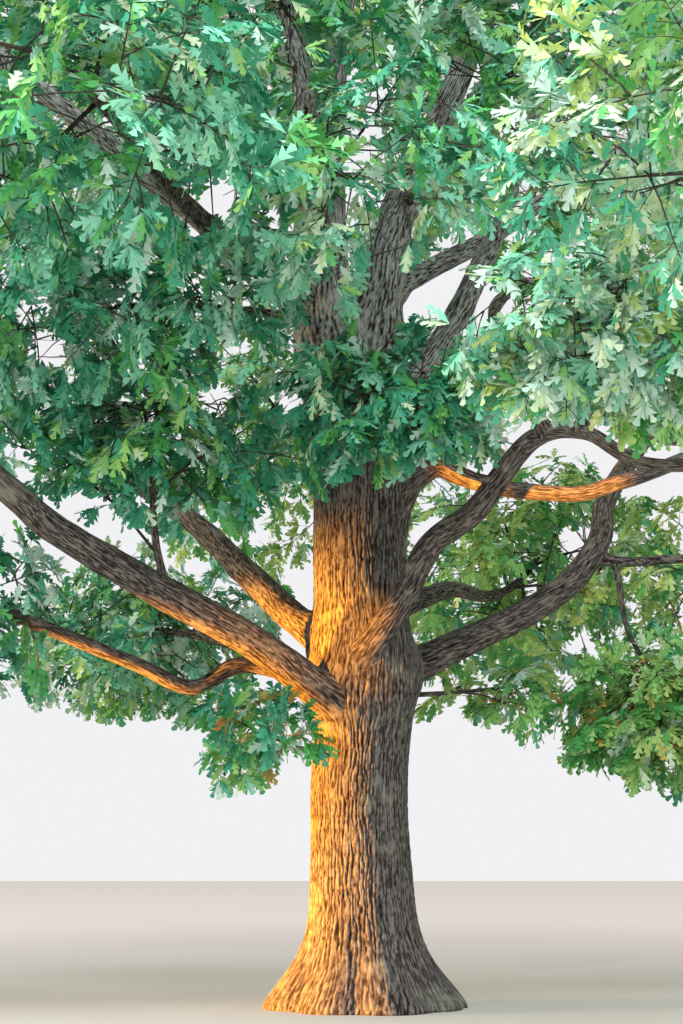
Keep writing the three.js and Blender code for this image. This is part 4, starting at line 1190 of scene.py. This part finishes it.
# %% Leaves on a sprig
LEAF_LENGTH, LEAF_LENGTH_LIMITS = (196, 24), (120, 235)
LEAF_SPACING, LEAVES_BETWEEN = 78, (0.3, 0.93)
SIDE_LEAF_TURN = (52, 14)
TIP_FAN, TIP_FAN_SPREAD = (-68, -34, -6, 22, 50), 9
LEAF_NOD, NOD_SPREAD = 0.32, (0.2, 1.6)
LEAF_FACE_UP, LEAF_FACE_SPRAY, LEAF_FACE_TUMBLE = 0.75, 0.45, 0.42
SPRAY_KEEPS = 0.55


def leaves_on(foliage, points, face, tint, rng):
    """Leaves along a sprig of three points, and a fan of them at its end."""
    start, middle, end = points
    length = np.linalg.norm(end - start)
    shares = np.arange(*LEAVES_BETWEEN, LEAF_SPACING / length)
    spots = [(share, SIDE_LEAF_TURN[0] * (1 if step % 2 else -1) + rng.normal() * SIDE_LEAF_TURN[1])
             for step, share in enumerate(shares)]
    spots += [(1.0, turn + rng.normal() * TIP_FAN_SPREAD) for turn in TIP_FAN]
    along = unit(end - middle)
    for share, turn in spots:
        root = start + (middle - start) * min(share, 0.5) * 2 + (end - middle) * max(share - 0.5, 0) * 2
        out = unit(turned(along, face, turn) - UP * LEAF_NOD * rng.uniform(*NOD_SPREAD))
        wish = UP * LEAF_FACE_UP + face * LEAF_FACE_SPRAY + rng.normal(size=3) * LEAF_FACE_TUMBLE
        size = float(np.clip(rng.normal(*LEAF_LENGTH), *LEAF_LENGTH_LIMITS))
        own = tint if rng.random() < SPRAY_KEEPS else foliage.pick_tint(rng)
        foliage.add_leaf(root, out, unit(wish - out * (wish @ out)), size, own)


# %% Sprigs in a spray
RIB_SHARES, RIB_GIRTH, RIB_TIP = np.array([0, 0.5, 0.93]), (0.003, 7), 3
SPRIG_SPACING, SPRIGS_LEAST = 118, 4
SPRIGS_FROM, SPRIGS_OVER, SPRIG_JITTER = 0.05, 0.87, 0.6
SPRIG_TURN, SPRIG_TURN_LESS, SPRIG_TURN_SPREAD = 64, 22, 8
SPRIG_LEAST, SPRIG_REACH, LEAF_OVERHANG = 150, (0.72, 1.02), 0.4
SPRIG_LIFT, SPRIG_SAG, SPRIG_ARCH = 0.3, 0.1, 0.05
SPRIG_GIRTH = (4.5, 2.2)


def fill_spray(foliage, spray, rng):
    """A midrib twig down the spray, sprigs to both sides, leaves on all of them."""
    length, face = spray["length"], spray["face"]
    tint = foliage.pick_tint(rng)
    rib_u = RIB_SHARES * length
    rib = spray_points(spray, rib_u, 0 * rib_u, -spray_drop(spray, rib_u))
    foliage.add_rod(rib, girth_of(RIB_GIRTH, length), RIB_TIP)
    count = max(SPRIGS_LEAST, round(length / SPRIG_SPACING))
    for index in range(count):
        u = (SPRIGS_FROM + SPRIGS_OVER * (index + SPRIG_JITTER * rng.random()) / count) * length
        side = 1 if index % 2 else -1
        degrees = SPRIG_TURN - SPRIG_TURN_LESS * u / length + rng.normal() * SPRIG_TURN_SPREAD
        rim = float(spray_half(spray, u)) / math.sin(math.radians(degrees))
        run = max(SPRIG_LEAST, rim * rng.uniform(*SPRIG_REACH) - LEAF_LENGTH[0] * LEAF_OVERHANG)
        start = spray_points(spray, [u], [0.0], [-float(spray_drop(spray, u))])[0]
        out = unit(turned(spray["along"], face, degrees * side) + face * rng.normal() * SPRIG_LIFT)
        end = start + out * run - UP * SPRIG_SAG * run
        points = np.array([start, (start + end) / 2 + UP * SPRIG_ARCH * run, end])
        foliage.add_rod(points, *SPRIG_GIRTH)
        leaves_on(foliage, points, face, tint, rng)
    leaves_on(foliage, rib, face, tint, rng)


# %% Fill every spray, and bend the twigs up a little
TWIG_ARCH, TWIG_TAPER, TWIG_LEAST = 0.06, 0.6, 4
LEAF_SEED = 900

foliages = {}
for mass in masses:
    rng = np.random.default_rng(LEAF_SEED + mass.own)
    foliage = foliages[mass.name] = Foliage(TINT_MIXES[MASSES[mass.name][2]])
    for spray in mass.sprays:
        fill_spray(foliage, spray, rng)
    for root, tip, girth in mass.twigs:
        bend = UP * TWIG_ARCH * np.linalg.norm(tip - root)
        foliage.add_rod(np.array([root, (root + tip) / 2 + bend, tip]), girth,
                        max(TWIG_LEAST, girth * TWIG_TAPER))
print("leaves:", sum(len(foliage.roots) for foliage in foliages.values()),
      "sprigs:", sum(len(foliage.rods) for foliage in foliages.values()))

# %% [markdown]
# ## Open places
# Light comes through a real crown in places, and its boughs show between the leaves. Growing leaves
# round each opening would take many trials, so the crown is grown whole, and then the leaves that
# stand between the viewer and certain stretches of bark, or certain bits of sky, are left off.

# %% The stretches of bark and the bits of sky that stay in sight
CLEAR_LIMBS = [  # limb, from, to, half the clear width, in mm
    ("bough_left_high", 1500, 2150, 150), ("bough_left_high", 2600, 3350, 150),
    ("bough_left_high", 3750, 4100, 140), ("leader_left", 1250, 1600, 170), ("stem_left", 300, 1500, 130),
    ("leader_right", 1150, 2550, 190), ("leader_right", 3450, 4000, 150),
    ("bough_right_grey", 350, 1700, 120), ("bough_right_steep", 1100, 2100, 130),
    ("bough_left_back", 200, 2700, 150), ("bough_right_middle", 500, 2600, 120),
    ("bough_right_front", 0, 4000, 140), ("bough_left_front", 0, 4600, 160),
    ("bough_left_low", 300, 3000, 100), ("bough_right_low", 300, 3300, 150),
    ("bough_right_level", 0, 1300, 80)]
SKY_GAPS = [  # right of the foot and above it where the sight line meets the trunk's plane, half width
    (-1360, 7580, 210), (560, 6680, 260), (1250, 6500, 170), (-3000, 6080, 200), (-1420, 5600, 170),
    (1950, 4240, 170), (-700, 5560, 120)]
CLEAR_STEP = 60
BARK_MARGIN = 100
TO_THE_BARK, PAST_THE_CROWN = 1.0, 9.0
VIEWER = np.array(CAMERA_PLACE) / MM

clear_points, clear_widths, clear_depths = [], [], []
for name, first, last, width in CLEAR_LIMBS:
    spots = on_core(cores[name], np.arange(first, last, CLEAR_STEP))[0]
    clear_points.append(spots)
    clear_widths += [width] * len(spots)
    clear_depths += [TO_THE_BARK] * len(spots)
for x, z, width in SKY_GAPS:
    clear_points.append(np.array([[x, 0, z]]))
    clear_widths.append(width)
    clear_depths.append(PAST_THE_CROWN)
clear_sights = np.vstack(clear_points) - VIEWER
clear_reach = np.linalg.norm(clear_sights, axis=1)
clear_sights = clear_sights / clear_reach[:, None]
print("open places:", len(clear_reach))


# %% What stands in the way of them
def in_the_way(points):
    """True for each point that stands in front of a clear stretch of bark or a bit of open sky."""
    hidden = np.zeros(len(points), bool)
    arm = points - VIEWER
    square = (arm ** 2).sum(1)
    for sight, reach, width, depth in zip(clear_sights, clear_reach, clear_widths, clear_depths):
        along = arm @ sight
        off = np.sqrt(np.maximum(square - along ** 2, 0))
        hidden |= (along < (reach - BARK_MARGIN) * depth) & (off * reach < width * along)
    return hidden


# %% [markdown]
# ## The leaves' finish
# An oak leaf in late summer is leathery, with a faint waxy sheen above, and no two are the same
# green. The greens also carry painted light: the masses on the crown's shaded left are dealt deep,
# bluish greens as painted shade, those on the right and at the back paler, yellower ones as painted
# light, and the low leaves beside the lit trunk get yellower greens as painted sunlight, with a few
# yellow and brown turned leaves, the yellow partly painted sun too. The palest, silvery greens are
# painted highlights, the sky's glint on the wax. Each green is one material, dealt out by spray, and
# the wax is uneven, which the roughness and a fine ripple of the blade show.

# %% One finish for each green
WAX_MM = 35
RIPPLE_MM = 18  # real veins are finer: this is as coarse as a blade needs to catch the light
LEAF_IOR = 1.45
LEAF_ROUGHNESS = (0.3, 0.6)
RIPPLE_RELIEF, RIPPLE_STRENGTH = 0.004, 0.4


def leaf_finish(name, colour):
    """Leathery broad leaf of one green under thin wax: a soft sheen that differs over the blade."""
    leaf = bpy.data.materials.new(name + "_oak_leaf")
    leaf.use_nodes = True
    links = leaf.node_tree.links
    shader = leaf.node_tree.nodes["Principled BSDF"]
    shader.inputs["Base Color"].default_value = linear(colour)
    shader.inputs["IOR"].default_value = LEAF_IOR
    place = add_node(leaf, "ShaderNodeTexCoord")
    wax = add_node(leaf, "ShaderNodeTexNoise", [("Vector", place, "Object")],
                   Scale=1 / (WAX_MM * MM), Detail=2.0)
    dull = add_node(leaf, "ShaderNodeMapRange", [("Value", wax, "Fac")],
                    To_Min=LEAF_ROUGHNESS[0], To_Max=LEAF_ROUGHNESS[1])
    links.new(dull.outputs["Result"], shader.inputs["Roughness"])
    ripple = add_node(leaf, "ShaderNodeTexNoise", [("Vector", place, "Object")],
                      Scale=1 / (RIPPLE_MM * MM), Detail=1.0)
    bump = add_node(leaf, "ShaderNodeBump", [("Height", ripple, "Fac")],
                    Strength=RIPPLE_STRENGTH, Distance=RIPPLE_RELIEF)
    links.new(bump.outputs["Normal"], shader.inputs["Normal"])
    return leaf


leaf_finishes = [leaf_finish(name, colour) for name, colour in GREENS.items()]
print("leaf finishes:", len(leaf_finishes))


# %% Join arrays into one mesh
def joined_mesh(name, points, faces, materials, smooth, **attributes):
    """One object from vertices in millimetres and triangles."""
    mesh = bpy.data.meshes.new(name)
    mesh.vertices.add(len(points))
    mesh.vertices.foreach_set("co", (points * MM).astype(np.float32).ravel())
    mesh.loops.add(faces.size)
    mesh.loops.foreach_set("vertex_index", faces.astype(np.int32).ravel())
    mesh.polygons.add(len(faces))
    mesh.polygons.foreach_set("loop_start", np.arange(0, faces.size, 3, dtype=np.int32))
    mesh.polygons.foreach_set("use_smooth", np.full(len(faces), smooth))
    mesh.update(calc_edges=True)
    for attribute, values in attributes.items():
        set_attribute(mesh, attribute, values)
    for material in materials:
        mesh.materials.append(material)
    piece = bpy.data.objects.new(name, mesh)
    bpy.context.scene.collection.objects.link(piece)
    return piece


# %% Leaves as one mesh
CROWN_BOX = np.array(cad_box) / MM
OVERHANG = 330
LEAF_CURL = (-0.4, 2.2)


def leaf_mesh(name, foliage_list):
    """Every leaf of some masses as one mesh, each face in its leaf's green."""
    roots, alongs, faces = (np.vstack([row for foliage in foliage_list for row in getattr(foliage, kind)])
                            for kind in ("roots", "alongs", "faces"))
    lengths, tints = (np.array([value for foliage in foliage_list for value in getattr(foliage, kind)])
                      for kind in ("lengths", "tints"))
    tips = roots + alongs * lengths[:, None]
    kept = ((tips > CROWN_BOX[0] - OVERHANG) & (tips < CROWN_BOX[1] + OVERHANG)).all(1)
    kept &= ~in_the_way((roots + tips) / 2)
    roots, alongs, faces, lengths, tints = (row[kept] for row in (roots, alongs, faces, lengths, tints))
    across = np.cross(faces, alongs)
    curl = np.random.default_rng(len(roots)).uniform(*LEAF_CURL, len(roots))
    u, v, w = LEAF_PATTERN.T
    points = (roots[:, None] + lengths[:, None, None] * (
        alongs[:, None] * u[:, None] + across[:, None] * v[:, None]
        + faces[:, None] * (w * curl[:, None])[:, :, None])).reshape(-1, 3)
    corners = (LEAF_FACES[None] + len(LEAF_PATTERN) * np.arange(len(roots))[:, None, None]).reshape(-1, 3)
    piece = joined_mesh(name, points, corners, leaf_finishes, False)
    piece.data.polygons.foreach_set("material_index", np.repeat(tints, len(LEAF_FACES)).astype(np.int32))
    return piece


# %% Leaves, one piece for each part of the crown
LEAF_GROUPS = {
    "leaves_low": ("trunk_left", "trunk_right", "left_riser", "over_trunk", "left_low", "right_hanging",
                   "back_left_low", "right_upright"),
    "leaves_left": ("left_front", "left_back", "left_high", "front_left", "leader_left"),
    "leaves_front": ("leader_front", "leader_right", "leader_high", "front_right", "right_front",
                     "right_steep", "front_left_high"),
    "leaves_right": ("right_middle", "right_low", "right_back", "right_high"),
    "leaves_back": ("back", "back_right", "back_left_high", "back_right_high"),
    "leaves_high": ("front_high", "back_high", "top_left"),
    "leaves_top": ("top_right", "top"),
}

total = 0
for group, names in LEAF_GROUPS.items():
    piece = leaf_mesh(group, [foliages[name] for name in names])
    dress(piece, "leaves", *("foliage_" + name for name in names))
    total += len(piece.data.polygons)
    print(group, len(piece.data.polygons), "triangles")
print("leaves kept:", total // len(LEAF_FACES))

# %% Twigs as one mesh: three-sided rods with closed ends
ROD_SIDES, ROD_RINGS = 3, 3
ROD_CORNERS = ROD_SIDES * ROD_RINGS
ROD_FACES = [(0, 2, 1), (6, 7, 8)]
for low in range(0, ROD_CORNERS - ROD_SIDES, ROD_SIDES):
    for corner in range(ROD_SIDES):
        near, far = low + corner, low + (corner + 1) % ROD_SIDES
        ROD_FACES += [(near, far, far + ROD_SIDES), (near, far + ROD_SIDES, near + ROD_SIDES)]
TWIG_DEPTH = 0.6


def rod_mesh(name, rods):
    """Every twig as a closed three-sided rod through its three points."""
    lines = np.array([rod[0] for rod in rods])
    radii = np.array([(rod[1], (rod[1] + rod[2]) / 2, rod[2]) for rod in rods])
    runs = np.stack([lines[:, 1] - lines[:, 0], lines[:, 2] - lines[:, 0], lines[:, 2] - lines[:, 1]], 1)
    tangents = unit(runs)
    guess = np.where(np.abs(tangents[:, 1, 2:]) > NEARLY_UPRIGHT, [EAST], [UP])[:, None]
    side = unit(guess - tangents * (tangents * guess).sum(2, keepdims=True))
    other = np.cross(tangents, side)
    turn = 2 * np.pi * np.arange(ROD_SIDES) / ROD_SIDES
    ring = (side[:, :, None] * np.cos(turn)[:, None] + other[:, :, None] * np.sin(turn)[:, None])
    points = (lines[:, :, None] + ring * radii[:, :, None, None]).reshape(-1, 3)
    corners = (np.array(ROD_FACES)[None] + ROD_CORNERS * np.arange(len(rods))[:, None, None]).reshape(-1, 3)
    depth = np.full(len(points), TWIG_DEPTH)
    return joined_mesh(name, points, corners, [twig_bark], True, furrow=depth, bark_place=points * MM)


print("one rod:", len(ROD_FACES), "triangles")

# %% Sprigs and twigs, in runs small enough for one piece
PIECE_LIMIT = 190000

rods = [rod for foliage in foliages.values() for rod in foliage.rods]
covering = in_the_way(np.array([rod[0][1] for rod in rods]))
rods = [rod for rod, hides in zip(rods, covering) if rod[1] > SPRIG_GIRTH[0] or not hides]
run_length = PIECE_LIMIT // len(ROD_FACES)
for number, first in enumerate(range(0, len(rods), run_length), 1):
    piece = rod_mesh(f"twigs_{number}", rods[first:first + run_length])
    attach(piece, "root")
print("twig triangles:", len(ROD_FACES) * len(rods))

# %% The stems that carry each bough into its leaves
STEM_COVER = 1.03  # the bark is this much wider than the solid's bare stem
STEM_SEED = 300

branches = []
for index, (name, stem) in enumerate(stems.items()):
    def sample(at, stem=stem):
        """Centre, direction and radius at distances along this stem."""
        t = at / stem["length"]
        return (stem["curve"](t), curve_tangent(stem["curve"], t),
                (stem["thick"] * (1 - t) + stem["thin"] * t) * STEM_COVER)
    branches.append(wrap_limb("stem_" + name, sample, stem["length"], stem["thick"], bough_bark,
                              np.random.default_rng(STEM_SEED + index)))
bpy.ops.object.select_all(action="DESELECT")
for branch in branches:
    branch.select_set(True)
bpy.context.view_layer.objects.active = branches[0]
bpy.ops.object.join()
crown_stems = bpy.context.object
crown_stems.name = crown_stems.data.name = "branches_in_the_leaves"
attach(crown_stems, "root")
print("branches:", len(stems), "with", len(crown_stems.data.polygons), "faces")

# %% [markdown]
# ## Warm light on the bark
# Late sun comes in low from the left, under the crown. It paints the bark gold and hardly touches
# the leaves, so the low lamps are linked to the pieces they light: one to all of the bark, one to
# the fork and the boughs beside it, and one to the level bough on the right. The first reaches in
# under the leaves, so only the trunk and the boughs shade it, and it leaves the S-shaped bough dark.

# %% Link the low lamps to the bark
def group_of(name, pieces):
    """A collection of pieces, for a lamp's links."""
    group = bpy.data.collections.new(name)
    for piece in pieces:
        group.objects.link(piece)
    return group


bark_pieces = [piece for piece in bpy.data.objects if piece.type == "MESH"
               and any(slot.material in bark_finishes for slot in piece.material_slots)]
wood = [piece for piece in bark_pieces if piece.name.endswith("_bark")]
beside_fork = ("trunk", "bough_right_front", "bough_left_back", "bough_left_front")
glow.light_linking.receiver_collection = group_of("lit_by_the_glow", [
    piece for piece in bark_pieces if "right_front" not in piece.name])
glow.light_linking.blocker_collection = group_of("shades_the_glow", wood)
patch.light_linking.receiver_collection = group_of("lit_by_the_patch", [
    piece for piece in wood if "right_middle" in piece.name])
fork_light.light_linking.receiver_collection = group_of("lit_in_the_fork", [
    piece for piece in wood if piece.name.startswith(beside_fork)])
